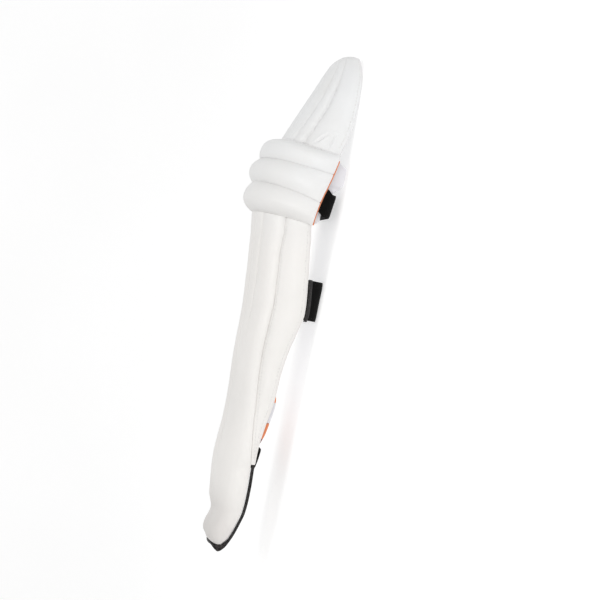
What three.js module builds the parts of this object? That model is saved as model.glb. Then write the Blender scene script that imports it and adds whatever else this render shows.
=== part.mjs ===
// A cricket leg guard (batting pad) for one leg, lying on its back as it rests by itself.
// Millimetres. X runs across the pad, Y from the toe to the top, Z up from the floor.
// The shin face and the knee rolls look up, and the straps are underneath.
// Every padded piece is laid on one curved sheet, the back face of the guard.
// A place on that sheet is a share of the pad's length, from 0 at the toe to 1 at the top,
// and a share of the half girth, from -1 at one back edge through 0 at the ridge to 1.

import * as THREE from "three";

// Overall sizes.
const padLength = 700; // toe to top
const kneeHeight = 86; // back face of the knee above the floor
const kneeHalfWidth = 84; // back face, ridge to side
const squareness = 2.35; // 2 makes each section an ellipse, more makes it squarer

// Padding, measured outward from the back face.
const shinCrest = 20; // middle of a sewn channel
const shinSeam = 14; // in the seam between two channels
const wingCrest = 16;
const wingSeam = 11; // where a wing is sewn to the shin
const hatCrest = 16;
const hatSeam = 10.5;
const edgePadding = 7; // where two faces are sewn together
const edgeRound = 20; // how far in from an edge the padding reaches its full height
const seamRound = 12;
const toeRound = 15;
const kneePadding = 12; // flat padding under the knee rolls
const rollCrest = 23; // how far a knee roll stands off that padding
const middleRollCrest = 21;
const upperRollCrest = 20;
const rollWall = 15; // where two rolls press together
const rollFoot = 6; // where the first and last roll meet the face
const rollEndHeight = 5; // at the back edges
const rollSideShare = 0.8; // a roll is thinner at the sides than over the ridge
const rollEndLength = 34; // girth over which a roll thins out to its end
const shinTopSwell = 3; // swelling of the shin channels below the knee rolls
const shinTopSwellLength = 80;
const waistDent = 5; // dent across the front above the toe
const waistLength = 50;

// Inner padding, measured inward from the back face.
const liningPadding = 8;
const liningEdge = 3;
const liningOverhang = 6;
const bolsterPadding = 13;
const bolsterOverhang = 34; // how far the knee bolster may reach behind the edge

// Straps, binding and piping.
const strapThickness = 3;
const calfStrapWidth = 54;
const kneeStrapWidth = 32;
const kneeStrapBack = 6; // its back above the floor
const kneeStrapCorner = 12;
const kneeStrapSkew = 10; // its back lies this much nearer the toe than its ends
const kneeStrapRise = 4; // its back rises this much towards the toe, across its width
const ankleStrapWidth = 30;
const ankleStrapBack = 38.5;
const ankleStrapRise = 4;
const ankleStrapSkew = 2.5;
const strapCorner = 16;
const strapAnchorShare = 0.16; // sewn to the inner face over this share of the half girth
const calfTabWidth = 57;
const calfTabThickness = 2.5;
const calfTabReach = 7; // how far it shows behind the edge of the outer wing
const bindingWidth = 6;
const bindingProud = 1;
const pipingDiameter = 3.2;
const pipingOffset = 8; // outward from the back face

const gap = 0.4; // between pieces that are sewn together
const seamGap = 0.6; // between the shin and a wing, each side of the seam
const bindingGap = 0.9; // between the shin and the binding
const liningGap = 1; // between a face and the padding inside it
const bolsterGap = 5; // leaves room for the knee strap between the face and the bolster

// Sections of the back face, each named by along, its share of the pad's length. The Along
// columns are shares of padLength, ridge and edge are shares of kneeHeight, half is a share of
// kneeHalfWidth, and seam is the share of the half girth where the side wing is sewn on.
const sections = [
  { along: 0, ridgeAlong: 0.0082, ridge: 0.862, edgeAlong: 0.0068, edge: 0.775, half: 0.41, seam: 1 },
  { along: 0.005, ridgeAlong: 0.01, ridge: 0.862, edgeAlong: 0.008, edge: 0.75, half: 0.435, seam: 1 },
  { along: 0.0145, ridgeAlong: 0.016, ridge: 0.856, edgeAlong: 0.0118, edge: 0.722, half: 0.468, seam: 1 },
  { along: 0.024, ridgeAlong: 0.0242, ridge: 0.838, edgeAlong: 0.0194, edge: 0.685, half: 0.51, seam: 1 },
  { along: 0.042, ridgeAlong: 0.0429, ridge: 0.82, edgeAlong: 0.0398, edge: 0.62, half: 0.575, seam: 1 },
  { along: 0.064, ridgeAlong: 0.0643, ridge: 0.812, edgeAlong: 0.0629, edge: 0.564, half: 0.62, seam: 1 },
  { along: 0.088, ridgeAlong: 0.088, ridge: 0.82, edgeAlong: 0.088, edge: 0.514, half: 0.645, seam: 1 },
  { along: 0.132, ridgeAlong: 0.132, ridge: 0.858, edgeAlong: 0.132, edge: 0.5, half: 0.68, seam: 1 },
  { along: 0.183, ridgeAlong: 0.183, ridge: 0.888, edgeAlong: 0.183, edge: 0.515, half: 0.71, seam: 0.91 },
  { along: 0.222, ridgeAlong: 0.222, ridge: 0.872, edgeAlong: 0.2217, edge: 0.513, half: 0.735, seam: 0.86 },
  { along: 0.262, ridgeAlong: 0.262, ridge: 0.845, edgeAlong: 0.261, edge: 0.478, half: 0.765, seam: 0.79 },
  { along: 0.31, ridgeAlong: 0.31, ridge: 0.85, edgeAlong: 0.309, edge: 0.42, half: 0.8, seam: 0.72 },
  { along: 0.37, ridgeAlong: 0.37, ridge: 0.872, edgeAlong: 0.369, edge: 0.398, half: 0.845, seam: 0.67 },
  { along: 0.41, ridgeAlong: 0.41, ridge: 0.876, edgeAlong: 0.409, edge: 0.355, half: 0.87, seam: 0.64 },
  { along: 0.4586, ridgeAlong: 0.4586, ridge: 0.879, edgeAlong: 0.458, edge: 0.268, half: 0.9, seam: 0.615 },
  { along: 0.49, ridgeAlong: 0.49, ridge: 0.885, edgeAlong: 0.489, edge: 0.228, half: 0.92, seam: 0.61 },
  { along: 0.5555, ridgeAlong: 0.5555, ridge: 0.92, edgeAlong: 0.5545, edge: 0.28, half: 0.945, seam: 0.62 },
  { along: 0.603, ridgeAlong: 0.603, ridge: 0.955, edgeAlong: 0.601, edge: 0.333, half: 0.96, seam: 0.63 },
  { along: 0.636, ridgeAlong: 0.638, ridge: 0.962, edgeAlong: 0.632, edge: 0.362, half: 0.975, seam: 0.65 },
  { along: 0.6615, ridgeAlong: 0.67, ridge: 0.985, edgeAlong: 0.6565, edge: 0.393, half: 0.985, seam: 0.66 },
  { along: 0.713, ridgeAlong: 0.7254, ridge: 1.026, edgeAlong: 0.7011, edge: 0.347, half: 1, seam: 0.66 },
  { along: 0.763, ridgeAlong: 0.763, ridge: 0.99, edgeAlong: 0.7574, edge: 0.228, half: 1, seam: 0.66 },
  { along: 0.799, ridgeAlong: 0.8043, ridge: 0.855, edgeAlong: 0.7945, edge: 0.164, half: 0.985, seam: 0.66 },
  { along: 0.845, ridgeAlong: 0.8486, ridge: 0.706, edgeAlong: 0.8375, edge: 0.075, half: 0.955, seam: 0.66 },
  { along: 0.88, ridgeAlong: 0.887, ridge: 0.572, edgeAlong: 0.8724, edge: 0.03, half: 0.915, seam: 0.66 },
  { along: 0.918, ridgeAlong: 0.921, ridge: 0.457, edgeAlong: 0.9149, edge: 0.012, half: 0.85, seam: 0.66 },
  { along: 0.952, ridgeAlong: 0.9545, ridge: 0.345, edgeAlong: 0.947, edge: 0.015, half: 0.71, seam: 0.66 },
  { along: 0.975, ridgeAlong: 0.976, ridge: 0.265, edgeAlong: 0.9725, edge: 0.045, half: 0.53, seam: 0.66 },
  { along: 0.991, ridgeAlong: 0.992, ridge: 0.205, edgeAlong: 0.984, edge: 0.1, half: 0.37, seam: 0.66 },
  { along: 0.997, ridgeAlong: 0.998, ridge: 0.175, edgeAlong: 0.991, edge: 0.14, half: 0.25, seam: 0.66 },
];

// Where the pieces begin and end, as shares of the pad's length.
const kneeFromShare = 0.6615;
const lowerJoinShare = 0.713;
const upperJoinShare = 0.763;
const kneeToShare = 0.799;
const topEndShare = 0.993;
const wingFromShare = 0.184;
const bindingToShare = 0.182;
const toeStartShare = 0.0145; // the toe end of the shin face, short of the binding
const ankleLiningFromShare = 0.222;
const ankleLiningToShare = 0.267;
const shinLiningToShare = 0.64;
const waistShare = 0.074; // middle of the dent above the toe
const ankleStrapShare = 0.196; // middle of each strap
const calfStrapShare = 0.514;
const kneeStrapShare = 0.713;

// Sewn channels, as shares of a piece's own half girth.
const shinSeamShares = [-1, -0.56, -0.19, 0.19, 0.56, 1];
const hatSeamShares = [-1, -0.6, -0.38, -0.13, 0.13, 0.38, 0.6, 1];

// How far the knee bolster reaches behind the edge, as a share of bolsterOverhang.
const bolsterReach = [
  { along: 0.664, reach: 0.1 },
  { along: 0.675, reach: 0.3 },
  { along: 0.69, reach: 0.29 },
  { along: 0.71, reach: 0.24 },
  { along: 0.728, reach: 0.2 },
  { along: 0.741, reach: 0.46 },
  { along: 0.752, reach: 0.62 },
  { along: 0.763, reach: 0.64 },
  { along: 0.779, reach: 0.56 },
  { along: 0.792, reach: 0.16 },
];

// The half girth that the lining covers, and how far it shows behind the edge, as a share of
// liningOverhang.
const liningCover = [
  { along: 0.222, cover: 0.98, behind: 0.3 },
  { along: 0.245, cover: 1.0, behind: 0.8 },
  { along: 0.3, cover: 1.0, behind: 0.8 },
  { along: 0.34, cover: 0.96, behind: 0.0 },
  { along: 0.42, cover: 0.7, behind: 0.0 },
  { along: 0.66, cover: 0.7, behind: 0.0 },
];

// A smooth curve through the rows of a table: the value of a column at a share of the length.
function at(table, column, along) {
  const last = table.length - 1;
  let k = 0;
  while (k < last - 1 && table[k + 1].along < along) k += 1;
  const [a, b] = [table[k], table[k + 1]];
  const span = b.along - a.along;
  const s = Math.min(Math.max((along - a.along) / span, 0), 1);
  const slope = (i) => {
    const p = table[Math.max(i - 1, 0)];
    const n = table[Math.min(i + 1, last)];
    return (n[column] - p[column]) / (n.along - p.along);
  };
  const s2 = s * s;
  const s3 = s2 * s;
  const fromA = (2 * s3 - 3 * s2 + 1) * a[column] + (s3 - 2 * s2 + s) * span * slope(k);
  const fromB = (3 * s2 - 2 * s3) * b[column] + (s3 - s2) * span * slope(k + 1);
  return fromA + fromB;
}

// One section of the back face: its ridge, its depth and the direction from ridge to edge.
function sectionAt(along) {
  const ridgeY = at(sections, "ridgeAlong", along) * padLength;
  const ridgeZ = at(sections, "ridge", along) * kneeHeight;
  const edgeY = at(sections, "edgeAlong", along) * padLength;
  const edgeZ = at(sections, "edge", along) * kneeHeight;
  const depth = Math.hypot(edgeY - ridgeY, edgeZ - ridgeZ);
  return {
    ridgeY,
    ridgeZ,
    depth,
    downY: (edgeY - ridgeY) / depth,
    downZ: (edgeZ - ridgeZ) / depth,
    half: at(sections, "half", along) * kneeHalfWidth,
  };
}

// A point of the back face. Past a girth of 1 it runs straight on behind the edge.
function onBack(along, girth) {
  const section = sectionAt(along);
  const size = Math.abs(girth);
  const angle = (Math.min(size, 1) * Math.PI) / 2;
  const s = Math.sin(angle);
  const c = Math.max(Math.cos(angle), 0);
  const reach = (s ** squareness + c ** squareness) ** (-1 / squareness);
  const drop = section.depth * (1 - reach * c + Math.max(size - 1, 0));
  return new THREE.Vector3(
    (Math.sign(girth) || 1) * section.half * reach * s,
    section.ridgeY + section.downY * drop,
    section.ridgeZ + section.downZ * drop,
  );
}

// A place on the back face, lifted outward by some padding.
function lifted(along, girth, lift) {
  const step = 0.002;
  const lengthways = onBack(along + step, girth).sub(onBack(Math.max(along - step, 0), girth));
  const across = onBack(along, girth + step).sub(onBack(along, girth - step));
  const outward = across.cross(lengthways).normalize();
  return onBack(along, girth).addScaledVector(outward, lift);
}

// The length of half a section, from the ridge to one edge.
function halfGirth(along) {
  const steps = 12;
  let length = 0;
  for (let k = 0; k < steps; k += 1) {
    length += onBack(along, k / steps).distanceTo(onBack(along, (k + 1) / steps));
  }
  return length;
}

// A share that rises from 0 to 1 as the edge of a pillow does.
function pillow(distance, round) {
  const inward = 1 - Math.min(Math.max(distance / round, 0), 1);
  return Math.sqrt(1 - inward * inward);
}

// A smooth hump, 1 at its middle and 0 past half its length on either side.
function hump(distance, length) {
  return Math.abs(distance) < length / 2 ? Math.cos((Math.PI * distance) / length) ** 2 : 0;
}

// The padding over a row of sewn channels, at a share across them.
function channelLift(across, seams, seamLift, crestLift) {
  let k = 0;
  while (k < seams.length - 2 && across > seams[k + 1]) k += 1;
  const share = (across - seams[k]) / (seams[k + 1] - seams[k]);
  return seamLift + (crestLift - seamLift) * Math.sqrt(Math.max(0, 1 - (2 * share - 1) ** 2));
}

// Places across a row of channels: each seam, and some between.
function acrossChannels(seams, between) {
  const places = [seams[0]];
  for (let k = 0; k < seams.length - 1; k += 1) {
    const width = seams[k + 1] - seams[k];
    places.push(...between.map((share) => seams[k] + width * share), seams[k + 1]);
  }
  return places;
}

// Evenly spaced numbers from one to another.
function spread(from, to, steps) {
  return Array.from({ length: steps + 1 }, (_, k) => from + ((to - from) * k) / steps);
}

// A closed body between an outer and an inner face, each a function of a row and a column.
function betweenFaces(rows, columns, outer, inner) {
  const [m, n] = [rows.length, columns.length];
  const points = [];
  for (const face of [outer, inner]) {
    for (const row of rows) {
      for (const column of columns) points.push(...face(row, column).toArray());
    }
  }
  const top = (i, j) => i * n + j;
  const low = (i, j) => (m + i) * n + j;
  const faces = [];
  const quad = (p, q, r, s) => faces.push(p, q, r, p, r, s);
  for (let i = 0; i < m - 1; i += 1) {
    for (let j = 0; j < n - 1; j += 1) {
      quad(top(i, j), top(i, j + 1), top(i + 1, j + 1), top(i + 1, j));
      quad(low(i, j), low(i + 1, j), low(i + 1, j + 1), low(i, j + 1));
    }
    quad(top(i + 1, 0), low(i + 1, 0), low(i, 0), top(i, 0));
    quad(top(i + 1, n - 1), top(i, n - 1), low(i, n - 1), low(i + 1, n - 1));
  }
  for (let j = 0; j < n - 1; j += 1) {
    quad(top(0, j), low(0, j), low(0, j + 1), top(0, j + 1));
    quad(top(m - 1, j + 1), low(m - 1, j + 1), low(m - 1, j), top(m - 1, j));
  }
  return new THREE.BufferGeometry()
    .setAttribute("position", new THREE.Float32BufferAttribute(points, 3))
    .setIndex(faces);
}

// A closed bar through a row of rings, each ring a list of points.
function throughRings(rings) {
  const n = rings[0].length;
  const points = rings.flat().flatMap((point) => point.toArray());
  const faces = [];
  for (let i = 0; i < rings.length - 1; i += 1) {
    for (let j = 0; j < n; j += 1) {
      const [a, b] = [i * n + j, i * n + ((j + 1) % n)];
      faces.push(a, b, b + n, a, b + n, a + n);
    }
  }
  const end = (rings.length - 1) * n;
  for (let j = 1; j < n - 1; j += 1) faces.push(0, j + 1, j, end, end + j, end + j + 1);
  return new THREE.BufferGeometry()
    .setAttribute("position", new THREE.Float32BufferAttribute(points, 3))
    .setIndex(faces);
}

const whiteFace = new THREE.MeshStandardMaterial({ color: 0xf1efec, roughness: 0.5, metalness: 0 });
const whiteCloth = new THREE.MeshStandardMaterial({ color: 0xe9e8ec, roughness: 0.8, metalness: 0 });
const orangeTrim = new THREE.MeshStandardMaterial({ color: 0xe8803a, roughness: 0.7, metalness: 0 });
const blackWebbing = new THREE.MeshStandardMaterial({ color: 0x1c1b1c, roughness: 0.85, metalness: 0 });
const blackBinding = new THREE.MeshStandardMaterial({ color: 0x3a3535, roughness: 0.7, metalness: 0 });

const guard = new THREE.Group();

function addPiece(name, geometry, material) {
  geometry.computeVertexNormals();
  const mesh = new THREE.Mesh(geometry, material);
  mesh.name = name;
  guard.add(mesh);
}

// The shin and the wings share these rows, so that they meet along one seam.
const wingRows = spread(wingFromShare, kneeFromShare - gap / padLength, 14);

// The shin's share of the half girth: short of the binding, and then short of the wing.
function shinCover(along) {
  const girth = halfGirth(along);
  if (along < wingFromShare) return 1 - (bindingWidth + bindingGap) / girth;
  return at(sections, "seam", along) - seamGap / girth;
}

function shinLift(along, across) {
  const y = along * padLength;
  const front = Math.max(0, 1 - across ** 2);
  const channel = channelLift(across, shinSeamShares, shinSeam, shinCrest);
  const dent = waistDent * hump(y - waistShare * padLength, waistLength) * front;
  const swell = shinTopSwell * hump(y - kneeFromShare * padLength, shinTopSwellLength) * front;
  const fromSide = (1 - Math.abs(across)) * halfGirth(along);
  const [sidePadding, sideRound] = along < wingFromShare ? [edgePadding, edgeRound] : [wingSeam, seamRound];
  const fromToe = onBack(along, across).distanceTo(onBack(toeStartShare, across));
  const full = sidePadding + (channel - dent + swell - sidePadding) * pillow(fromSide, sideRound);
  return edgePadding + (full - edgePadding) * pillow(fromToe, toeRound);
}

// The padded shin face, from the toe to the knee rolls.
function makeShinFace() {
  const toeRows = [0, 0.003, 0.008, 0.016, 0.028, 0.045, 0.066, 0.096, 0.135];
  const rows = [
    ...toeRows.map((share) => toeStartShare + share),
    wingFromShare - (3 * gap) / padLength,
    ...wingRows,
  ];
  const geometry = betweenFaces(
    rows,
    acrossChannels(shinSeamShares, [0.1, 0.3, 0.6, 0.85]),
    (along, across) => lifted(along, across * shinCover(along), shinLift(along, across)),
    (along, across) => lifted(along, across * shinCover(along), 0),
  );
  addPiece("shin_face", geometry, whiteFace);
}

// A padded wing, sewn to the shin along its front seam and free along its back edge.
function makeSideWing(name, side) {
  const shares = [0, 0.04, 0.12, 0.25, 0.45, 0.65, 0.8, 0.9, 0.96, 1];
  const columns = side > 0 ? shares : shares.map((share) => -share).reverse();
  const girth = (along, share) => {
    const from = at(sections, "seam", along) + seamGap / halfGirth(along);
    return side * (from + (1 - from) * Math.abs(share));
  };
  const lift = (along, share) => {
    const width = (1 - at(sections, "seam", along)) * halfGirth(along);
    const fromSeam = pillow(Math.abs(share) * width, seamRound);
    const full = wingSeam + (wingCrest - wingSeam) * fromSeam;
    return edgePadding + (full - edgePadding) * pillow((1 - Math.abs(share)) * width, edgeRound);
  };
  const geometry = betweenFaces(
    wingRows,
    columns,
    (along, share) => lifted(along, girth(along, share), lift(along, share)),
    (along, share) => lifted(along, girth(along, share), 0),
  );
  addPiece(name, geometry, whiteFace);
}

// Rows and columns shared by the knee panel and the rolls that lie on it.
const kneeColumns = spread(-1, 1, 20);
const rollShares = [0, 0.05, 0.17, 0.36, 0.6, 0.82, 0.95, 1];

function rollRows(from, to) {
  const trim = gap / 2 / padLength;
  return rollShares.map((share) => from + trim + (to - from - 2 * trim) * share);
}

// The flat padded panel that carries the knee rolls.
function makeKneePanel() {
  const joins = [kneeFromShare, lowerJoinShare, upperJoinShare, kneeToShare];
  const rows = [0, 1, 2].flatMap((k) => {
    const inside = rollRows(joins[k], joins[k + 1]);
    return [inside[0], inside[3], inside[inside.length - 1]];
  });
  const geometry = betweenFaces(
    rows,
    kneeColumns,
    (along, girth) => lifted(along, girth, kneePadding),
    (along, girth) => lifted(along, girth, 0),
  );
  addPiece("knee_panel", geometry, whiteFace);
}

// A knee roll: a stuffed tube that wraps the knee from one back edge to the other.
function makeKneeRoll(name, from, to, crest, wallFrom, wallTo) {
  const rise = (share) => {
    const wall = share < 0.5 ? wallFrom : wallTo;
    return wall + (crest - wall) * Math.sqrt(1 - (1 - 2 * Math.min(share, 1 - share)) ** 2);
  };
  const width = halfGirth((from + to) / 2);
  const lift = (along, girth) => {
    const share = Math.min(Math.max((along - from) / (to - from), 0), 1);
    const thin = 1 - (1 - rollSideShare) * girth ** 2;
    const end = pillow((1 - Math.abs(girth)) * width, rollEndLength);
    return kneePadding + gap + rollEndHeight + (rise(share) * thin - rollEndHeight) * end;
  };
  const geometry = betweenFaces(
    rollRows(from, to),
    kneeColumns,
    (along, girth) => lifted(along, girth, lift(along, girth)),
    (along, girth) => lifted(along, girth, kneePadding + gap),
  );
  addPiece(name, geometry, whiteFace);
}

function hatLift(along, across) {
  const channel = channelLift(across, hatSeamShares, hatSeam, hatCrest);
  const fromSide = (1 - Math.abs(across)) * halfGirth(along);
  const fromTop = (topEndShare - along) * padLength;
  const round = Math.min(pillow(fromSide, edgeRound), pillow(fromTop, edgeRound));
  return edgePadding + (channel - edgePadding) * round;
}

// The guard above the knee, narrowing to a rounded top.
function makeTopHat() {
  const from = kneeToShare + (2 * gap) / padLength;
  const rows = [...spread(from, 0.93, 5), 0.948, 0.962, 0.974, 0.983, 0.99, topEndShare];
  const geometry = betweenFaces(
    rows,
    acrossChannels(hatSeamShares, [0.15, 0.5, 0.85]),
    (along, across) => lifted(along, across, hatLift(along, across)),
    (along, across) => lifted(along, across, 0),
  );
  addPiece("top_hat", geometry, whiteFace);
}

// The padding inside the knee. It shows behind the knee rolls and rests on the floor.
function makeKneeBolster() {
  const [from, to] = [bolsterReach[0].along, bolsterReach[bolsterReach.length - 1].along];
  const cover = (along) =>
    1 + (at(bolsterReach, "reach", along) * bolsterOverhang) / sectionAt(along).depth;
  const thick = (along, across) => {
    const fromSide = (1 - Math.abs(across)) * halfGirth(along);
    const fromEnd = Math.min(along - from, to - along) * padLength;
    const round = Math.min(pillow(fromSide, bolsterPadding), pillow(fromEnd, bolsterPadding));
    return (bolsterPadding * (1 + round)) / 2;
  };
  const onFloor = (point) => point.setZ(Math.max(point.z, 0));
  const geometry = betweenFaces(
    spread(from, to, 10),
    [-1, -0.96, -0.88, ...spread(-0.76, 0.76, 12), 0.88, 0.96, 1],
    (along, across) => onFloor(lifted(along, across * cover(along), -bolsterGap)),
    (along, across) =>
      onFloor(lifted(along, across * cover(along), -bolsterGap - thick(along, across))),
  );
  addPiece("knee_bolster", geometry, whiteCloth);
}

// A stretch of the padding inside the shin.
function makeLining(name, from, to, material, steps) {
  const cover = (along) =>
    at(liningCover, "cover", along) +
    (at(liningCover, "behind", along) * liningOverhang) / sectionAt(along).depth;
  const thick = (along, across) => {
    const fromSide = (1 - Math.abs(across)) * halfGirth(along);
    return liningEdge + (liningPadding - liningEdge) * pillow(fromSide, liningPadding);
  };
  const geometry = betweenFaces(
    spread(from, to, steps),
    [-1, -0.94, ...spread(-0.84, 0.84, 12), 0.94, 1],
    (along, across) => lifted(along, across * cover(along), -liningGap),
    (along, across) => lifted(along, across * cover(along), -liningGap - thick(along, across)),
  );
  addPiece(name, geometry, material);
}

// Half the path of a strap in one section, as pairs of a place across and a drop below the
// ridge: along the inner face to the edge, round a corner and over to the middle of the back.
// inside is how far its surface lies inside the back face, and back its height off the floor.
function strapHalfPath(along, inside, back, corner) {
  const section = sectionAt(along);
  const level = (section.ridgeZ - back) / -section.downZ;
  const path = spread(1 - strapAnchorShare, 1, 3).map((girth, k) => {
    const point = lifted(along, girth, -inside);
    const [y, z] = [point.y - section.ridgeY, point.z - section.ridgeZ];
    const lowest = level - corner - (4 - k) * gap; // so that the path never turns back
    return [point.x, Math.min(y * section.downY + z * section.downZ, lowest)];
  });
  const side = section.half - inside;
  for (const turn of spread(0, Math.PI / 2, 4)) {
    path.push([side - corner * (1 - Math.cos(turn)), level - corner * (1 - Math.sin(turn))]);
  }
  path.push([side * 0.4, level], [0, level]);
  return path;
}

// A strap: a flat band across the open back, sewn inside both edges.
function makeStrap(name, strap) {
  const { place, width, inside, back, skew, rise, corner } = strap;
  const steps = strapHalfPath(place / padLength, inside, back, corner).length - 1;
  const surface = (depthIn, height, round) => (y, column) => {
    const along = y / padLength;
    const section = sectionAt(along);
    const lean = rise * (1 / 2 - (y - place) / width);
    const path = strapHalfPath(along, depthIn, height + lean, round);
    const [across, drop] = path[steps - Math.abs(column)];
    const behind = Math.min(Math.max((drop - section.depth) / corner, 0), 1);
    const z = section.ridgeZ + section.downZ * drop;
    return new THREE.Vector3((Math.sign(column) || 1) * across, y - skew * behind, z);
  };
  const geometry = betweenFaces(
    spread(place - width / 2, place + width / 2, 2),
    spread(-steps, steps, 2 * steps),
    surface(inside + strapThickness, back + strapThickness, corner - strapThickness),
    surface(inside, back, corner),
  );
  addPiece(name, geometry, blackWebbing);
}

// A tab sewn behind the edge of the outer wing, over the end of the calf strap.
function makeCalfTab() {
  const place = calfStrapShare * padLength;
  const [from, to] = [place - calfTabWidth / 2, place + calfTabWidth / 2];
  const behind = (along, reach) => 1 + reach / sectionAt(along).depth;
  const geometry = betweenFaces(
    spread(from / padLength, to / padLength, 4),
    [2 * liningGap, calfTabReach],
    (along, reach) => lifted(along, behind(along, reach), calfTabThickness),
    (along, reach) => lifted(along, behind(along, reach), 0),
  );
  addPiece("calf_strap_tab", geometry, blackBinding);
}

// A thin round cord behind the ends of the knee rolls.
function makePiping(name, side) {
  const radius = pipingDiameter / 2;
  const sides = 6;
  const rings = spread(kneeFromShare + gap / padLength, kneeToShare, 14).map((along) => {
    const depth = sectionAt(along).depth;
    return spread(0, sides - 1, sides - 1).map((k) => {
      const turn = (k * 2 * Math.PI) / sides;
      const behind = gap + radius * (1 - Math.cos(turn));
      return lifted(along, side * (1 + behind / depth), pipingOffset + radius * Math.sin(turn));
    });
  });
  addPiece(name, throughRings(side > 0 ? rings : rings.reverse()), orangeTrim);
}

// The binding round the free edge: up both sides and across the toe.
// Each ring runs from an inner place beside the shin face to an outer place on the edge.
function makeBinding() {
  const inner = (along) => 1 - bindingWidth / halfGirth(along);
  const toe = toeStartShare - bindingGap / padLength;
  const side = [...spread(bindingToShare, 0.03, 12), 0.022].map((along) => ({
    from: [along, inner(along)],
    to: [along, 1],
  }));
  const corner = [0.014, 0.009, 0.004].map((along) => ({ from: [toe, inner(toe)], to: [along, 1] }));
  const front = spread(1, 0, 8).map((share) => ({ from: [toe, inner(toe) * share], to: [0, share] }));
  const half = [...side, ...corner, ...front];
  const flip = ([along, girth]) => [along, -girth];
  const other = half.slice(0, -1).reverse().map(({ from, to }) => ({ from: flip(from), to: flip(to) }));
  const high = edgePadding + bindingProud;
  const low = -bindingProud;
  const profile = [
    { out: 0, lift: high },
    { out: 0.7, lift: high },
    { out: 1, lift: high - bindingProud * 2 },
    { out: 1, lift: low + bindingProud * 2 },
    { out: 0.7, lift: low },
    { out: 0, lift: low },
  ];
  const rings = [...half, ...other].map(({ from, to }) =>
    profile.map(({ out, lift }) =>
      lifted(from[0] + (to[0] - from[0]) * out, from[1] + (to[1] - from[1]) * out, lift),
    ),
  );
  addPiece("instep_binding", throughRings(rings.reverse()), blackBinding);
}

makeShinFace();
makeSideWing("side_wing_outer", 1);
makeSideWing("side_wing_inner", -1);
makeKneePanel();
makeKneeRoll("knee_roll_lower", kneeFromShare, lowerJoinShare, rollCrest, rollFoot, rollWall);
makeKneeRoll("knee_roll_middle", lowerJoinShare, upperJoinShare, middleRollCrest, rollWall, rollWall);
makeKneeRoll("knee_roll_upper", upperJoinShare, kneeToShare, upperRollCrest, rollWall, rollFoot);
makeTopHat();
makeKneeBolster();
makeLining("ankle_lining", ankleLiningFromShare, ankleLiningToShare - gap / padLength, orangeTrim, 2);
makeLining("shin_lining", ankleLiningToShare, shinLiningToShare, whiteCloth, 9);
makeStrap("knee_strap", {
  place: kneeStrapShare * padLength,
  width: kneeStrapWidth,
  inside: liningGap,
  back: kneeStrapBack,
  skew: kneeStrapSkew,
  rise: kneeStrapRise,
  corner: kneeStrapCorner,
});
makeStrap("calf_strap", {
  place: calfStrapShare * padLength,
  width: calfStrapWidth,
  inside: gap,
  back: 0,
  skew: 0,
  rise: 0,
  corner: strapCorner,
});
makeStrap("ankle_strap", {
  place: ankleStrapShare * padLength,
  width: ankleStrapWidth,
  inside: bindingProud + 2 * gap,
  back: ankleStrapBack,
  skew: ankleStrapSkew,
  rise: ankleStrapRise,
  corner: strapThickness + gap,
});
makeCalfTab();
makePiping("knee_piping_outer", 1);
makePiping("knee_piping_inner", -1);
makeBinding();

// The origin is on the floor, under the middle of the guard.
const bounds = new THREE.Box3().setFromObject(guard);
guard.position.set(0, -(bounds.min.y + bounds.max.y) / 2, 0);

export default guard;
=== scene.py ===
# A cricket leg guard lying on its back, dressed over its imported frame.
# Lengths are in millimetres until a mesh is made, and then in metres.
# Every padded piece is laid on one curved sheet, the back face of the guard, as in the CAD.
# A place on that sheet is along, a share of the pad's length from the toe, and girth, a share
# of the half girth from -1 at one back edge through 0 at the ridge to 1.

import math

import bpy
import numpy as np
from mathutils import Matrix, Vector


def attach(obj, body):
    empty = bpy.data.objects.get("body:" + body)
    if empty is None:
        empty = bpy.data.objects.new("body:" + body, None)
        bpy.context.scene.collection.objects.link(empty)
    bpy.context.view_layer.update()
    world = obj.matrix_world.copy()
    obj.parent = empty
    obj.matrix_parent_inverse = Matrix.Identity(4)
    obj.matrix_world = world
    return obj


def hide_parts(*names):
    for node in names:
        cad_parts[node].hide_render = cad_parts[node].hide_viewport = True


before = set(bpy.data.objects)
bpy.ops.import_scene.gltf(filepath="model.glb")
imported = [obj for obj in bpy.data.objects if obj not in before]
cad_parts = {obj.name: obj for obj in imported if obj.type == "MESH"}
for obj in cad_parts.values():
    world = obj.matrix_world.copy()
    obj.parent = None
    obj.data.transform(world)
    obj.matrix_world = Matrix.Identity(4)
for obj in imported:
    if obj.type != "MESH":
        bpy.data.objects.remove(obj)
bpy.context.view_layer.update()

METRES = 0.001
CLOTH_SCALE = 0.01  # cloth coordinates for each millimetre, so that one unit is 100 mm

# Overall sizes, the same as in the CAD.
PAD_LENGTH = 700
KNEE_HEIGHT = 86
KNEE_HALF_WIDTH = 84
SQUARENESS = 2.35
ORIGIN_AT = 349.25  # the frame's origin, from the toe end

# Padding, measured outward from the back face.
SHIN_CREST = 20
SHIN_SEAM = 14
WING_CREST = 16
WING_SEAM = 11
HAT_CREST = 16
HAT_SEAM = 10.5
EDGE_PADDING = 7
EDGE_ROUND = 20
SEAM_ROUND = 12
TOE_ROUND = 15
KNEE_PADDING = 12
ROLL_CRESTS = {"lower": 23, "middle": 21, "upper": 20}
ROLL_WALL = 15
ROLL_FOOT = 6
ROLL_END_HEIGHT = 5
ROLL_SIDE_SHARE = 0.8
ROLL_END_LENGTH = 34
TOP_SWELL = 3
TOP_SWELL_LENGTH = 80
WAIST_DENT = 5
WAIST_LENGTH = 50
LINING_PADDING = 8
LINING_EDGE = 3
LINING_OVERHANG = 6
BOLSTER_PADDING = 13
BOLSTER_OVERHANG = 34

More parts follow.
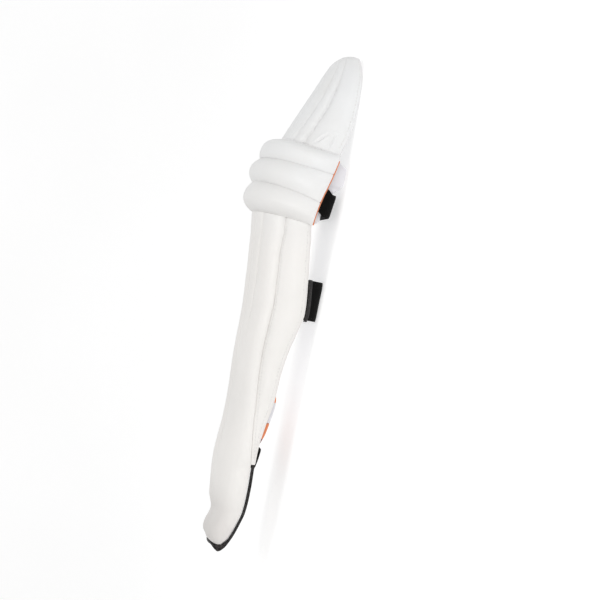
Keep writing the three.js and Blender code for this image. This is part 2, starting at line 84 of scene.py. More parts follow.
# Straps, binding and piping.
STRAP_THICKNESS = 3
STRAP_ANCHOR = 0.16  # the share of the half girth that a strap is sewn under
STRAP_ANCHOR_STEPS = 8
TAB_WIDTH = 57
TAB_THICKNESS = 2.5
TAB_REACH = 7
BINDING_WIDTH = 6
BINDING_PROUD = 1
TOE_CORNER_SPAN = 0.024  # the rounded corners of the toe: a share of the length,
TOE_CORNER_SHARE = 0.2  # and a share of the half girth
PIPING_DIAMETER = 3.2
PIPING_OFFSET = 8

# Stitches. Each row of the form is a place along the stitch and how thick it is there.
STITCH_LENGTH = 3.2
STITCH_SPACE = 1.6
STITCH_SIDES = 6
STITCH_FORM = [(-0.5, 0.25), (-0.32, 0.85), (0, 1), (0.32, 0.85), (0.5, 0.25)]
EDGE_STITCH = 6.5  # a row of stitches runs this far inside an edge

BACK_CURL = 0.9  # how far the back of a cover curls up at its edge
CURL_REACH = 8

GAP = 0.4
SEAM_TOUCH = 0.08  # covers that are sewn together come this near their seam
BINDING_GAP = 0.9
LINING_GAP = 1
BOLSTER_GAP = 5

# Where the pieces begin and end, as shares of the pad's length.
KNEE_FROM = 0.6615
JOIN_LOWER = 0.713
JOIN_UPPER = 0.763
KNEE_TO = 0.799
TOP_END = 0.993
WING_FROM = 0.184
BINDING_TO = 0.182
TOE_START = 0.0145
ANKLE_LINING_FROM = 0.222
ANKLE_LINING_TO = 0.267
SHIN_LINING_TO = 0.64
WAIST = 0.074
STRAPS = {
    "ankle": {"at": 0.196, "width": 30, "inside": 1.8, "back": 38.5, "skew": 2.5, "rise": 4, "corner": 3.4},
    "calf": {"at": 0.514, "width": 54, "inside": 0.4, "back": 0, "skew": 0, "rise": 0, "corner": 16},
    "knee": {"at": 0.713, "width": 32, "inside": 1, "back": 6, "skew": 10, "rise": 4, "corner": 12},
}

# Sewn channels: the place of each seam as a share of the piece's half girth, and how deep it is
# sewn, as a share of the full depth.
SHIN_SEAMS = [-1, -0.56, -0.19, 0.19, 0.56, 1]
SHIN_DEPTHS = [1, 0.8, 1, 1, 0.8, 1]
HAT_SEAMS = [-1, -0.6, -0.45, -0.15, 0.15, 0.45, 0.6, 1]
HAT_DEPTHS = [0.5, 1.0, 0.55, 0.8, 0.8, 0.55, 1.0, 0.5]

# Sections of the back face. The columns named at are shares of the length, ridge and edge are
# shares of the knee height, half is a share of the knee's half width, and seam is the share of
# the half girth where the wing is sewn on.
SECTION_ROWS = [
    (0, 0.0082, 0.862, 0.0068, 0.775, 0.41, 1),
    (0.005, 0.01, 0.862, 0.008, 0.75, 0.435, 1),
    (0.0145, 0.016, 0.856, 0.0118, 0.722, 0.468, 1),
    (0.024, 0.0242, 0.838, 0.0194, 0.685, 0.51, 1),
    (0.042, 0.0429, 0.82, 0.0398, 0.62, 0.575, 1),
    (0.064, 0.0643, 0.812, 0.0629, 0.564, 0.62, 1),
    (0.088, 0.088, 0.82, 0.088, 0.514, 0.645, 1),
    (0.132, 0.132, 0.858, 0.132, 0.5, 0.68, 1),
    (0.183, 0.183, 0.888, 0.183, 0.515, 0.71, 0.91),
    (0.222, 0.222, 0.872, 0.2217, 0.513, 0.735, 0.86),
    (0.262, 0.262, 0.845, 0.261, 0.478, 0.765, 0.79),
    (0.31, 0.31, 0.85, 0.309, 0.42, 0.8, 0.72),
    (0.37, 0.37, 0.872, 0.369, 0.398, 0.845, 0.67),
    (0.41, 0.41, 0.876, 0.409, 0.355, 0.87, 0.64),
    (0.4586, 0.4586, 0.879, 0.458, 0.268, 0.9, 0.615),
    (0.49, 0.49, 0.885, 0.489, 0.228, 0.92, 0.61),
    (0.5555, 0.5555, 0.92, 0.5545, 0.28, 0.945, 0.62),
    (0.603, 0.603, 0.955, 0.601, 0.333, 0.96, 0.63),
    (0.636, 0.638, 0.962, 0.632, 0.362, 0.975, 0.65),
    (0.6615, 0.67, 0.985, 0.6565, 0.393, 0.985, 0.66),
    (0.713, 0.7254, 1.026, 0.7011, 0.347, 1, 0.66),
    (0.763, 0.763, 0.99, 0.7574, 0.228, 1, 0.66),
    (0.799, 0.8043, 0.855, 0.7945, 0.164, 0.985, 0.66),
    (0.845, 0.8486, 0.706, 0.8375, 0.075, 0.955, 0.66),
    (0.88, 0.887, 0.572, 0.8724, 0.03, 0.915, 0.66),
    (0.918, 0.921, 0.457, 0.9149, 0.012, 0.85, 0.66),
    (0.952, 0.9545, 0.345, 0.947, 0.015, 0.71, 0.66),
    (0.975, 0.976, 0.265, 0.9725, 0.045, 0.53, 0.66),
    (0.991, 0.992, 0.205, 0.984, 0.1, 0.37, 0.66),
    (0.997, 0.998, 0.175, 0.991, 0.14, 0.25, 0.66),
]


def table(columns, rows):
    return dict(zip(columns, np.array(rows, float).T))


SECTIONS = table(("along", "ridge_at", "ridge", "edge_at", "edge", "half", "seam"), SECTION_ROWS)

# How far the knee bolster reaches behind the edge, as a share of BOLSTER_OVERHANG.
BOLSTER_ROWS = [
    (0.664, 0.1), (0.675, 0.3), (0.69, 0.29), (0.71, 0.24), (0.728, 0.2),
    (0.741, 0.46), (0.752, 0.62), (0.763, 0.64), (0.779, 0.56), (0.792, 0.16),
]
BOLSTER = table(("along", "reach"), BOLSTER_ROWS)

# The half girth that the lining covers, and how far it shows behind the edge, as a share of
# LINING_OVERHANG.
LINING_ROWS = [
    (0.222, 0.98, 0.3), (0.245, 1.0, 0.8), (0.3, 1.0, 0.8),
    (0.34, 0.96, 0.0), (0.42, 0.7, 0.0), (0.66, 0.7, 0.0),
]
LINING = table(("along", "cover", "behind"), LINING_ROWS)


# The curved sheet


def at(table, column, along):
    """A smooth curve through the rows of a table, read at shares of the length."""
    x, v = table["along"], table[column]
    last = len(x) - 1
    low, high = np.maximum(np.arange(last + 1) - 1, 0), np.minimum(np.arange(last + 1) + 1, last)
    slope = (v[high] - v[low]) / (x[high] - x[low])
    along = np.asarray(along, float)
    k = np.clip(np.searchsorted(x[1:], along, "left"), 0, last - 1)
    span = x[k + 1] - x[k]
    s = np.clip((along - x[k]) / span, 0, 1)
    from_a = (2 * s**3 - 3 * s**2 + 1) * v[k] + (s**3 - 2 * s**2 + s) * span * slope[k]
    return from_a + (3 * s**2 - 2 * s**3) * v[k + 1] + (s**3 - s**2) * span * slope[k + 1]


def section_at(along):
    ridge_y = at(SECTIONS, "ridge_at", along) * PAD_LENGTH
    ridge_z = at(SECTIONS, "ridge", along) * KNEE_HEIGHT
    edge_y = at(SECTIONS, "edge_at", along) * PAD_LENGTH
    edge_z = at(SECTIONS, "edge", along) * KNEE_HEIGHT
    depth = np.hypot(edge_y - ridge_y, edge_z - ridge_z)
    down_y, down_z = (edge_y - ridge_y) / depth, (edge_z - ridge_z) / depth
    return ridge_y, ridge_z, depth, down_y, down_z, at(SECTIONS, "half", along) * KNEE_HALF_WIDTH


def depth_at(along):
    return section_at(along)[2]


def on_back(along, girth):
    """A point of the back face. Past a girth of 1 it runs straight on behind the edge."""
    along, girth = np.broadcast_arrays(np.asarray(along, float), np.asarray(girth, float))
    ridge_y, ridge_z, depth, down_y, down_z, half = section_at(along)
    size = np.abs(girth)
    angle = np.minimum(size, 1) * np.pi / 2
    s, c = np.sin(angle), np.maximum(np.cos(angle), 0)
    reach = (s**SQUARENESS + c**SQUARENESS) ** (-1 / SQUARENESS)
    drop = depth * (1 - reach * c + np.maximum(size - 1, 0))
    x = np.where(girth < 0, -1, 1) * half * reach * s
    return np.stack([x, ridge_y + down_y * drop, ridge_z + down_z * drop], -1)


def outward(along, girth):
    step = 0.002
    lengthways = on_back(along + step, girth) - on_back(np.maximum(along - step, 0), girth)
    across = on_back(along, girth + step) - on_back(along, girth - step)
    normal = np.cross(across, lengthways)
    return normal / np.linalg.norm(normal, axis=-1, keepdims=True)


def lifted(along, girth, lift):
    """A place on the back face, lifted outward by some padding."""
    along, girth = np.broadcast_arrays(np.asarray(along, float), np.asarray(girth, float))
    return on_back(along, girth) + outward(along, girth) * np.asarray(lift, float)[..., None]


GIRTH_ALONG = np.linspace(0, 1, 201)
GIRTH_RING = on_back(GIRTH_ALONG[:, None], np.linspace(0, 1, 25)[None, :])
GIRTH_LENGTH = np.linalg.norm(np.diff(GIRTH_RING, axis=1), axis=-1).sum(1)


def half_girth(along):
    """The length of half a section, from the ridge to one edge."""
    return np.interp(along, GIRTH_ALONG, GIRTH_LENGTH)


def from_edge(along, across):
    """Millimetres from a back edge of the sheet."""
    return (1 - np.abs(across)) * half_girth(along)


def pillow(distance, round_length):
    inward = 1 - np.clip(np.asarray(distance, float) / round_length, 0, 1)
    return np.sqrt(1 - inward**2)


def hump(distance, length):
    return np.where(np.abs(distance) < length / 2, np.cos(np.pi * distance / length) ** 2, 0)


def smooth(value, low, high):
    """0 below low, 1 above high, and a soft ramp between."""
    s = np.clip((np.asarray(value, float) - low) / (high - low), 0, 1)
    return s * s * (3 - 2 * s)


def channels(across, seams, depths):
    """How far the padding is down between the seams, 1 in a full seam, and how near a seam is."""
    seams, depths = np.array(seams, float), np.array(depths, float)
    k = np.clip(np.searchsorted(seams, across, "right") - 1, 0, len(seams) - 2)
    share = np.clip((across - seams[k]) / (seams[k + 1] - seams[k]), 0, 1)
    arc = np.sqrt(np.maximum(0, 1 - (2 * share - 1) ** 2))
    depth = depths[k] * (1 - share) + depths[k + 1] * share
    return (1 - arc) * depth


def seam_distance(across, seams, width):
    """Millimetres to the nearest seam inside the piece."""
    inside = np.array(seams[1:-1], float)
    return np.min(np.abs(across[..., None] - inside), -1) * width


# Folds and softness

NOISE_SIDE = 64


def lattice(seed):
    return np.random.default_rng(seed).uniform(-1, 1, (NOISE_SIDE, NOISE_SIDE))


def noise(x, y, seed):
    """Smooth noise from -1 to 1 over a plane, with about one feature in each unit."""
    values = lattice(seed)
    xi, yi = np.floor(x).astype(int), np.floor(y).astype(int)
    fx, fy = x - xi, y - yi
    fx, fy = fx * fx * (3 - 2 * fx), fy * fy * (3 - 2 * fy)
    x0, x1, y0, y1 = xi % NOISE_SIDE, (xi + 1) % NOISE_SIDE, yi % NOISE_SIDE, (yi + 1) % NOISE_SIDE
    low = values[x0, y0] * (1 - fx) + values[x1, y0] * fx
    high = values[x0, y1] * (1 - fx) + values[x1, y1] * fx
    return low * (1 - fy) + high * fy


def puckers(from_seam, beside, seed, pitch=9, reach=11, depth=0.8):
    """Short folds that run away from a seam, with their places along it in beside."""
    fold = noise(beside / pitch, from_seam / (reach * 2.5) + 7, seed)
    fold = fold + 0.5 * noise(beside / (pitch * 0.45), from_seam / reach + 3, seed + 1)
    return -depth * np.abs(fold) * np.exp(-from_seam / reach)


def softness(x, y, seed, size=0.5):
    """The slow unevenness of stuffing under a cover."""
    return size * (noise(x / 46, y / 60, seed) + 0.45 * noise(x / 21, y / 27, seed + 1))


def creases(x, y, lines):
    """Sewn-in or pressed creases. Each line is two ends, a half width and a depth."""
    total = np.zeros(np.broadcast(x, y).shape)
    for x0, y0, x1, y1, width, depth in lines:
        dx, dy = x1 - x0, y1 - y0
        t = np.clip(((x - x0) * dx + (y - y0) * dy) / (dx * dx + dy * dy), 0, 1)
        away = np.hypot(x - x0 - t * dx, y - y0 - t * dy)
        fade = np.sin(np.pi * np.clip(0.12 + 0.76 * t, 0, 1))
        total -= depth * fade * np.exp(-((away / width) ** 2))
        total += 0.3 * depth * fade * np.exp(-(((away - 2.1 * width) / width) ** 2))
    return total


# Meshes


def add_object(name, data):
    thing = bpy.data.objects.new(name, data)
    bpy.context.collection.objects.link(thing)
    return thing


def add_mesh(name, points, faces, cloth=None, marks=None):
    """An object from points in millimetres, with cloth coordinates and point values."""
    points = np.asarray(points, float).reshape(-1, 3).copy()
    points[:, 1] -= ORIGIN_AT
    mesh = bpy.data.meshes.new(name)
    mesh.from_pydata((points * METRES).tolist(), [], [list(f) for f in faces])
    if cloth is not None:
        layer = mesh.uv_layers.new(name="cloth")
        corner = np.empty(len(mesh.loops), dtype=np.int32)
        mesh.loops.foreach_get("vertex_index", corner)
        places = np.asarray(cloth, float)[corner] * CLOTH_SCALE
        layer.uv.foreach_set("vector", places.astype(np.float32).ravel())
    for key, values in (marks or {}).items():
        layer = mesh.attributes.new(key, "FLOAT", "POINT")
        layer.data.foreach_set("value", np.asarray(values, np.float32).ravel())
    mesh.validate()
    mesh.shade_smooth()
    return add_object(name, mesh)


def grid_faces(m, n, first=0, flip=False):
    i, j = np.meshgrid(np.arange(m - 1), np.arange(n - 1), indexing="ij")
    a = (first + i * n + j).ravel()
    order = (a, a + n, a + n + 1, a + 1) if flip else (a, a + 1, a + n + 1, a + n)
    return np.stack(order, -1)


def rim_of(m, n):
    """The rows and the columns of a grid's border points, in order."""
    border = [(0, j) for j in range(n)] + [(i, n - 1) for i in range(1, m)]
    border += [(m - 1, j) for j in range(n - 2, -1, -1)] + [(i, 0) for i in range(m - 2, 0, -1)]
    return np.array(border).T


def band(upper, under):
    """The faces between two closed loops of points."""
    return np.stack([upper, under, np.roll(under, -1), np.roll(upper, -1)], -1)


def slab(outer, inner):
    """The points and faces of a thin body between two grids of points."""
    m, n = outer.shape[:2]
    rows, columns = rim_of(m, n)
    size, rim = m * n, rows * n + columns
    faces = [grid_faces(m, n), grid_faces(m, n, size, flip=True), band(rim, rim + size)]
    return np.concatenate([outer.reshape(-1, 3), inner.reshape(-1, 3)]), np.concatenate(faces)


def run_along(path):
    """The length run at each point of a path."""
    return np.concatenate([[0], np.cumsum(np.linalg.norm(np.diff(path, axis=0), axis=1))])


def eased(steps, ends=0.5):
    """Shares from 0 to 1, closer together towards both ends."""
    s = np.linspace(0, 1, steps)
    return (1 - ends) * s + ends * (0.5 - 0.5 * np.cos(np.pi * s))


def shell(
    name, span, steps, place, outer, inner, wide, nose, sides=(-1, 1), marks=None, ease=0.5, steep=1.3
):
    """A padded body between an outer and an inner face, with rounded edges.

    span is from and to along the pad, sides from and to across it, place(along, across, lift)
    gives a point, outer and inner give the lift of each face, wide(along) is the millimetres in
    one share across, nose is how round the toe end, the top end and the sides are, and steep is
    how far the rounding goes down for each millimetre it goes out.
    """
    m, n = steps
    start, end, side = nose
    along = span[0] + start / PAD_LENGTH
    along = along + (span[1] - end / PAD_LENGTH - along) * eased(m, ease)
    inset = side / wide(along)[:, None]
    share = eased(n, 0.25)[None, :]
    across = sides[0] + inset + (sides[1] - sides[0] - 2 * inset) * share
    along = np.broadcast_to(along[:, None], across.shape)
    top, low = outer(along, across), inner(along, across)
    ri, rj = rim_of(m, n)
    out_u = np.where(ri == 0, -start, 0) + np.where(ri == m - 1, end, 0)
    out_v = np.where(rj == 0, -side, 0) + np.where(rj == n - 1, side, 0)
    corner = np.where((out_u != 0) & (out_v != 0), 0.72, 1.0)
    rings, ring_cloth = [], []
    thick = (top - low)[ri, rj]
    reach = np.maximum(np.abs(out_u), np.abs(out_v))
    bend = np.minimum(reach * steep, thick / 2)
    quarter = np.linspace(0, np.pi / 2, 5)
    turns = [(t, 1) for t in quarter[1:]] + [(t, -1) for t in quarter[::-1][:-1]]
    for turn, face in turns:
        push = np.sin(turn) * corner
        a = along[ri, rj] + out_u * push / PAD_LENGTH
        c = across[ri, rj] + out_v * push / wide(along[ri, rj])
        sunk = bend * (1 - np.cos(turn))
        lift = top[ri, rj] - sunk if face > 0 else low[ri, rj] + sunk
        rings.append(place(a, c, lift))
        ring_cloth.append(np.stack([c * wide(a), a * PAD_LENGTH], -1))
    size = m * n
    flat = np.stack([across * wide(along), along * PAD_LENGTH], -1).reshape(-1, 2)
    points = [place(along, across, top).reshape(-1, 3), place(along, across, low).reshape(-1, 3)]
    points = np.concatenate(points + rings)
    cloth = np.concatenate([flat, flat] + ring_cloth)
    faces = [grid_faces(m, n), grid_faces(m, n, size, flip=True)]
    loops = [ri * n + rj]
    loops += [2 * size + k * len(ri) + np.arange(len(ri)) for k in range(len(turns))]
    loops += [size + ri * n + rj]
    faces += [band(upper, under) for upper, under in zip(loops[:-1], loops[1:])]
    values = {}
    for key, field in (marks or {}).items():
        face = np.broadcast_to(field(along, across), along.shape)
        on_rim = np.tile(face[ri, rj], len(turns))
        values[key] = np.concatenate([face.ravel(), np.zeros(size), on_rim])
    return add_mesh(name, points, np.concatenate(faces), cloth, values)


def tube(name, centres, radius, sides, up):
    """A round bar along a path, with domed ends."""
    tangent = np.gradient(centres, axis=0)
    tangent /= np.linalg.norm(tangent, axis=1, keepdims=True)
    side = np.cross(tangent, up)
    side /= np.linalg.norm(side, axis=1, keepdims=True)
    lift = np.cross(side, tangent)
    turn = np.linspace(0, 2 * np.pi, sides, endpoint=False)[None, :, None]
    ring = np.cos(turn) * side[:, None, :] + np.sin(turn) * lift[:, None, :]
    points = (centres[:, None, :] + radius[:, None, None] * ring).reshape(-1, 3)
    m, first = len(centres), len(points)
    i, j = np.meshgrid(np.arange(m - 1), np.arange(sides), indexing="ij")
    a, b = i * sides + j, i * sides + (j + 1) % sides
    faces = np.stack([a, b, b + sides, a + sides], -1).reshape(-1, 4).tolist()
    around = np.linspace(0, 2 * np.pi * float(radius.mean()), sides)
    cloth = np.stack([np.tile(around, m), np.repeat(run_along(centres), sides)], -1)
    dome = 0.6 * radius[[0, -1], None] * tangent[[0, -1]] * [[-1], [1]]
    points = np.concatenate([points, centres[[0, -1]] + dome])
    cloth = np.concatenate([cloth, [cloth[0], cloth[-1]]])
    for k in range(sides):
        faces.append([first, (k + 1) % sides, k])
        faces.append([first + 1, (m - 1) * sides + k, (m - 1) * sides + (k + 1) % sides])
    return add_mesh(name, points, faces, cloth)


def stitches(name, paths, width, height):
    """Rows of thread stitches. Each path is points and the directions that face out of the cloth."""
    place, size = np.array(STITCH_FORM).T
    turn = np.linspace(0, 2 * np.pi, STITCH_SIDES, endpoint=False)
    rise = height * (0.5 - 2.2 * place**2)
    sideways = width * size[:, None] * np.cos(turn)
    upward = rise[:, None] + height * size[:, None] * np.sin(turn)
    points = []
    for path, facing in paths:
        run = run_along(path)
        count = int(run[-1] // (STITCH_LENGTH + STITCH_SPACE))
        middles = (np.arange(count) + 0.5) * run[-1] / max(count, 1)
        centre, ahead, normal = [
            np.stack([np.interp(where, run, values[:, k]) for k in range(3)], -1)
            for where, values in ((middles, path), (middles + 0.5, path), (middles, facing))
        ]
        tangent = ahead - centre
        tangent /= np.linalg.norm(tangent, axis=1, keepdims=True) + 1e-9
        normal /= np.linalg.norm(normal, axis=1, keepdims=True) + 1e-9
        side = np.cross(tangent, normal)
        centre, tangent, normal, side = [v[:, None, None, :] for v in (centre, tangent, normal, side)]
        form = centre + tangent * (place * STITCH_LENGTH)[:, None, None]
        form = form + side * sideways[..., None] + normal * upward[..., None]
        points.append(form.reshape(-1, 3))
    points = np.concatenate(points)
    rings, n = len(STITCH_FORM), STITCH_SIDES
    faces = []
    for first in range(0, len(points), rings * n):
        for a in range(first, first + (rings - 1) * n, n):
            faces += [(a + k, a + (k + 1) % n, a + (k + 1) % n + n, a + k + n) for k in range(n)]
        faces.append(tuple(range(first + n - 1, first - 1, -1)))
        faces.append(tuple(range(first + (rings - 1) * n, first + rings * n)))
    return add_mesh(name, points, faces)


def on_surface(along, girth, lift):
    """A stitch path: points and the directions that face out."""
    along, girth, lift = np.broadcast_arrays(*[np.asarray(v, float) for v in (along, girth, lift)])
    return lifted(along, girth, lift), outward(along, girth)


# Materials


def material(name, roughness, specular=0.5, sheen=0.0):
    made = bpy.data.materials.new(name)
    made.use_nodes = True
    tree = made.node_tree
    shader = tree.nodes["Principled BSDF"]
    shader.inputs["Roughness"].default_value = roughness
    shader.inputs["Specular IOR Level"].default_value = specular
    shader.inputs["Sheen Weight"].default_value = sheen
    shader.inputs["Sheen Roughness"].default_value = 0.5
    return made, tree, shader


def node(tree, kind, inputs, **settings):
    """A node with its settings made, and each input linked or given a value."""
    made = tree.nodes.new(kind)
    for key, value in settings.items():
        setattr(made, key, value)
    for key, value in inputs.items():
        if isinstance(value, bpy.types.NodeSocket):
            tree.links.new(value, made.inputs[key])
        else:
            made.inputs[key].default_value = value
    return made


def math_node(tree, operation, *values):
    return node(tree, "ShaderNodeMath", dict(enumerate(values)), operation=operation).outputs[0]


def product(tree, a, b):
    return math_node(tree, "MULTIPLY", a, b)


def ramp(tree, value, low, high, to_low=0.0, to_high=1.0):
    inputs = {"Value": value, "From Min": low, "From Max": high, "To Min": to_low, "To Max": to_high}
    return node(tree, "ShaderNodeMapRange", inputs, interpolation_type="SMOOTHSTEP").outputs["Result"]


def mix(tree, factor, a, b):
    return node(tree, "ShaderNodeMix", {0: factor, 6: a, 7: b}, data_type="RGBA").outputs[2]


def noise_node(tree, vector, scale, detail=3.0, roughness=0.55):
    inputs = {"Vector": vector, "Scale": scale, "Detail": detail, "Roughness": roughness}
    return node(tree, "ShaderNodeTexNoise", inputs).outputs["Fac"]


def noise_ramp(tree, vector, scale, detail, *levels):
    return ramp(tree, noise_node(tree, vector, scale, detail), *levels)


def connect(tree, shader, tone, normal, rough=None):
    tree.links.new(tone, shader.inputs["Base Color"])
    tree.links.new(normal, shader.inputs["Normal"])
    if rough is not None:
        tree.links.new(rough, shader.inputs["Roughness"])


def darker(colour, share):
    return tuple(c * share for c in colour[:3]) + (1,)


def cloth_map(tree):
    return node(tree, "ShaderNodeUVMap", {}, uv_map="cloth").outputs["UV"]


def place_map(tree):
    return node(tree, "ShaderNodeTexCoord", {}).outputs["Object"]


def mark(tree, name):
    made = node(tree, "ShaderNodeAttribute", {}, attribute_name=name, attribute_type="GEOMETRY")
    return made.outputs["Fac"]


def bump(tree, height, strength, distance, normal=None):
    made = node(tree, "ShaderNodeBump", {"Height": height, "Strength": strength, "Distance": distance})
    if normal is not None:
        tree.links.new(normal, made.inputs["Normal"])
    return made.outputs["Normal"]


def white_face(name):
    """Soft white coated leather: fine pebble grain, painted shade with faint grime in the seams, and darker
    patches and a painted shade on the front face towards the toe.
    """
    made, tree, shader = material(name, 0.46, 0.38)
    place, cloth = place_map(tree), cloth_map(tree)
    split = node(tree, "ShaderNodeSeparateXYZ", {"Vector": place})
    upper = ramp(tree, split.outputs["Y"], 0.05, 0.2)
    tone = mix(tree, upper, (0.82, 0.8, 0.775, 1), (0.8, 0.805, 0.808, 1))
    cloudy = noise_ramp(tree, place, 9, 4, 0.35, 0.7)
    tone = mix(tree, product(tree, cloudy, 0.35), tone, (0.755, 0.74, 0.715, 1))
    # Painted shade with some grime: darker where the point value seam is high, in seams, grooves and corners
    # where shade falls.
    seam_shade_and_grime = product(tree, mark(tree, "seam"), noise_ramp(tree, cloth, 2.2, 4, 0.3, 0.7, 0.12, 0.5))
    tone = mix(tree, seam_shade_and_grime, tone, (0.66, 0.645, 0.625, 1))
    near_toe = ramp(tree, split.outputs["Y"], -0.35, -0.24, 1.0, 0.0)
    # Darker in uneven patches towards the toe.
    darker_near_toe = product(tree, near_toe, noise_ramp(tree, place, 26, 5, 0.3, 0.75, 0.5, 0.9))
    tone = mix(tree, darker_near_toe, tone, (0.66, 0.625, 0.605, 1))
    # Painted shade: the front face near the toe is darker than the side beside it.
    front_face_shade = product(tree, ramp(tree, split.outputs["Z"], 0.07, 0.088), near_toe)
    tone = mix(tree, product(tree, front_face_shade, 0.6), tone, (0.56, 0.54, 0.52, 1))
    cells = {"Vector": cloth, "Scale": 62.0}
    pebbles = node(tree, "ShaderNodeTexVoronoi", cells, feature="DISTANCE_TO_EDGE")
    grain = ramp(tree, pebbles.outputs["Distance"], 0.0, 0.22)
    normal = bump(tree, grain, 0.16, 0.00025)
    normal = bump(tree, noise_node(tree, cloth, 150, 2), 0.12, 0.0002, normal)
    normal = bump(tree, noise_node(tree, cloth, 7.5, 3), 0.25, 0.0012, normal)
    connect(tree, shader, tone, normal, noise_ramp(tree, place, 34, 3, 0.3, 0.7, 0.4, 0.56))
    return made


def weave_height(tree, cloth, threads):
    """A plain weave: threads per 100 mm, over and under by turns."""
    split = node(tree, "ShaderNodeSeparateXYZ", {"Vector": cloth})
    waves = []
    for way in ("X", "Y"):
        waves.append(math_node(tree, "SINE", product(tree, split.outputs[way], threads * math.pi)))
    return product(tree, *waves)


def cloth_material(name, colour, dark, threads=110, roughness=0.85, dye_and_shadow_colour=None):
    """Plain woven cloth. Where the marked point value is 1 it has the given second colour instead, which is a
    real dyed patch on one cloth and a painted strap shadow on another.
    """
    made, tree, shader = material(name, roughness, 0.3, 0.15)
    cloth, place = cloth_map(tree), place_map(tree)
    weave = weave_height(tree, cloth, threads)
    cloudy = noise_ramp(tree, place, 14, 4, 0.3, 0.75, 0.0, 0.45)
    tone = mix(tree, cloudy, colour, dark)
    thread = ramp(tree, weave, -1, 1, 0.0, 0.22)
    tone = mix(tree, thread, tone, dark)
    tone = mix(tree, product(tree, mark(tree, "seam"), 0.55), tone, darker(dark, 0.7))
    if dye_and_shadow_colour:
        tone = mix(tree, mark(tree, "dye_and_shadow"), tone, dye_and_shadow_colour)
    normal = bump(tree, weave, 0.35, 0.0002)
    normal = bump(tree, noise_node(tree, cloth, 9, 3), 0.25, 0.001, normal)
    connect(tree, shader, tone, normal, ramp(tree, weave, -1, 1, roughness - 0.08, roughness + 0.08))
    return made


def webbing_material(name, colour, light, fuzz=60):
    """Hook and loop tape: a woven border, and a napped middle with fine loops."""
    made, tree, shader = material(name, 0.85, 0.1, 0.03)
    cloth = cloth_map(tree)
    nap = noise_node(tree, cloth, fuzz, 4, 0.75)
    weave = weave_height(tree, cloth, 70)
    height = math_node(tree, "ADD", nap, product(tree, weave, 0.2))
    tone = mix(tree, ramp(tree, nap, 0.35, 0.75), colour, light)
    tone = mix(tree, product(tree, mark(tree, "border"), 0.6), tone, light)
    normal = bump(tree, height, 0.55, 0.0006)
    connect(tree, shader, tone, normal, ramp(tree, nap, 0.3, 0.8, 0.7, 0.95))
    return made


def binding_material(name):
    """Coarse black binding leather, worn grey on its high grain."""
    made, tree, shader = material(name, 0.7, 0.22)
    cloth, place = cloth_map(tree), place_map(tree)
    cells = node(tree, "ShaderNodeTexVoronoi", {"Vector": cloth, "Scale": 42.0}, feature="SMOOTH_F1")
    grain = ramp(tree, cells.outputs["Distance"], 0.1, 0.75, 1.0, 0.0)
    worn = product(tree, grain, noise_ramp(tree, place, 60, 4, 0.35, 0.7))
    tone = mix(tree, worn, (0.009, 0.008, 0.008, 1), (0.045, 0.038, 0.036, 1))
    normal = bump(tree, grain, 0.6, 0.0005)
    connect(tree, shader, tone, normal, ramp(tree, grain, 0, 1, 0.68, 0.45))
    return made


def thread_material(name, colour):
    made, tree, shader = material(name, 0.7, 0.3, 0.2)
    twist = node(tree, "ShaderNodeTexWave", {"Vector": place_map(tree), "Scale": 700.0, "Distortion": 1.0})
    tone = mix(tree, ramp(tree, twist.outputs["Fac"], 0, 1, 0.0, 0.5), colour, darker(colour, 0.75))
    connect(tree, shader, tone, bump(tree, twist.outputs["Fac"], 0.4, 0.0001))
    return made


FACE = white_face("white_face")
LINING_CLOTH = cloth_material(
    "lining_cloth", (0.86, 0.86, 0.88, 1), (0.75, 0.75, 0.8, 1), dye_and_shadow_colour=(0.86, 0.3, 0.12, 1)
)
BOLSTER_CLOTH = cloth_material("bolster_cloth", (0.88, 0.88, 0.9, 1), (0.8, 0.8, 0.86, 1), 90)
# The orange cloth's dark red second colour is a painted shadow of the ankle strap on the ankle lining.
ORANGE_CLOTH = cloth_material(
    "orange_cloth", (0.88, 0.33, 0.16, 1), (0.74, 0.2, 0.08, 1), 90, 0.75, dye_and_shadow_colour=(0.2, 0.03, 0.03, 1)
)
WEBBING = webbing_material("black_webbing", (0.002, 0.002, 0.0019, 1), (0.0065, 0.006, 0.0056, 1))
TAB_TAPE = webbing_material("tab_tape", (0.022, 0.021, 0.021, 1), (0.07, 0.067, 0.067, 1), 48)
BINDING_HIDE = binding_material("binding_hide")
WHITE_THREAD = thread_material("white_thread", (0.8, 0.79, 0.77, 1))
BLACK_THREAD = thread_material("black_thread", (0.03, 0.03, 0.03, 1))


def dress(piece, finish, slot, *nodes, fill=None):
    """Gives a piece its finish and its place on the body, and hides the CAD nodes that it stands for."""
    piece.data.materials.append(finish)
    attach(piece, "root")
    if nodes:
        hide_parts(*nodes)
    return piece


# The shin face

TOE_AT = on_back(TOE_START, np.linspace(-1, 1, 81))
TOE_CENTRE = np.linspace(-1, 1, 81)


def seam_shade_and_grime_share(along):
    """How strong the painted shade and grime at the seam beside the wing are: fainter towards the ankle."""
    return 0.1 + 0.75 * smooth(along, 0.22, 0.45)


def side_seam_lift(along):
    """The sewn seam between the shin and a wing lies higher towards the ankle."""
    return WING_SEAM + 1.5 + 2.5 * (1 - smooth(along, 0.24, 0.42))


def rounded_corner(along, start, length, width):
    """How much narrower a piece is near its toe end, where its corners are rounded."""
    inward = 1 - np.clip((np.asarray(along, float) - start) / length, 0, 1)
    return width * (1 - np.sqrt(1 - inward**2))


def toe_corner(along):
    return rounded_corner(along, TOE_START, TOE_CORNER_SPAN, TOE_CORNER_SHARE)


def shin_cover(along):
    girth = half_girth(along)
    binding = 1 - (BINDING_WIDTH + BINDING_GAP) / girth - toe_corner(along)
    return np.where(along < WING_FROM, binding, at(SECTIONS, "seam", along) - SEAM_TOUCH / girth)


def shin_depths(along):
    """The channels beside the middle ones fade below the calf."""
    return 0.7 * smooth(along, 0.4, 0.62)


def middle_depths(along):
    """The middle channels keep more of their depth, and run out at the toe."""
    return (0.45 + 0.45 * smooth(along, 0.36, 0.6)) * smooth(along, 0.06, 0.16)


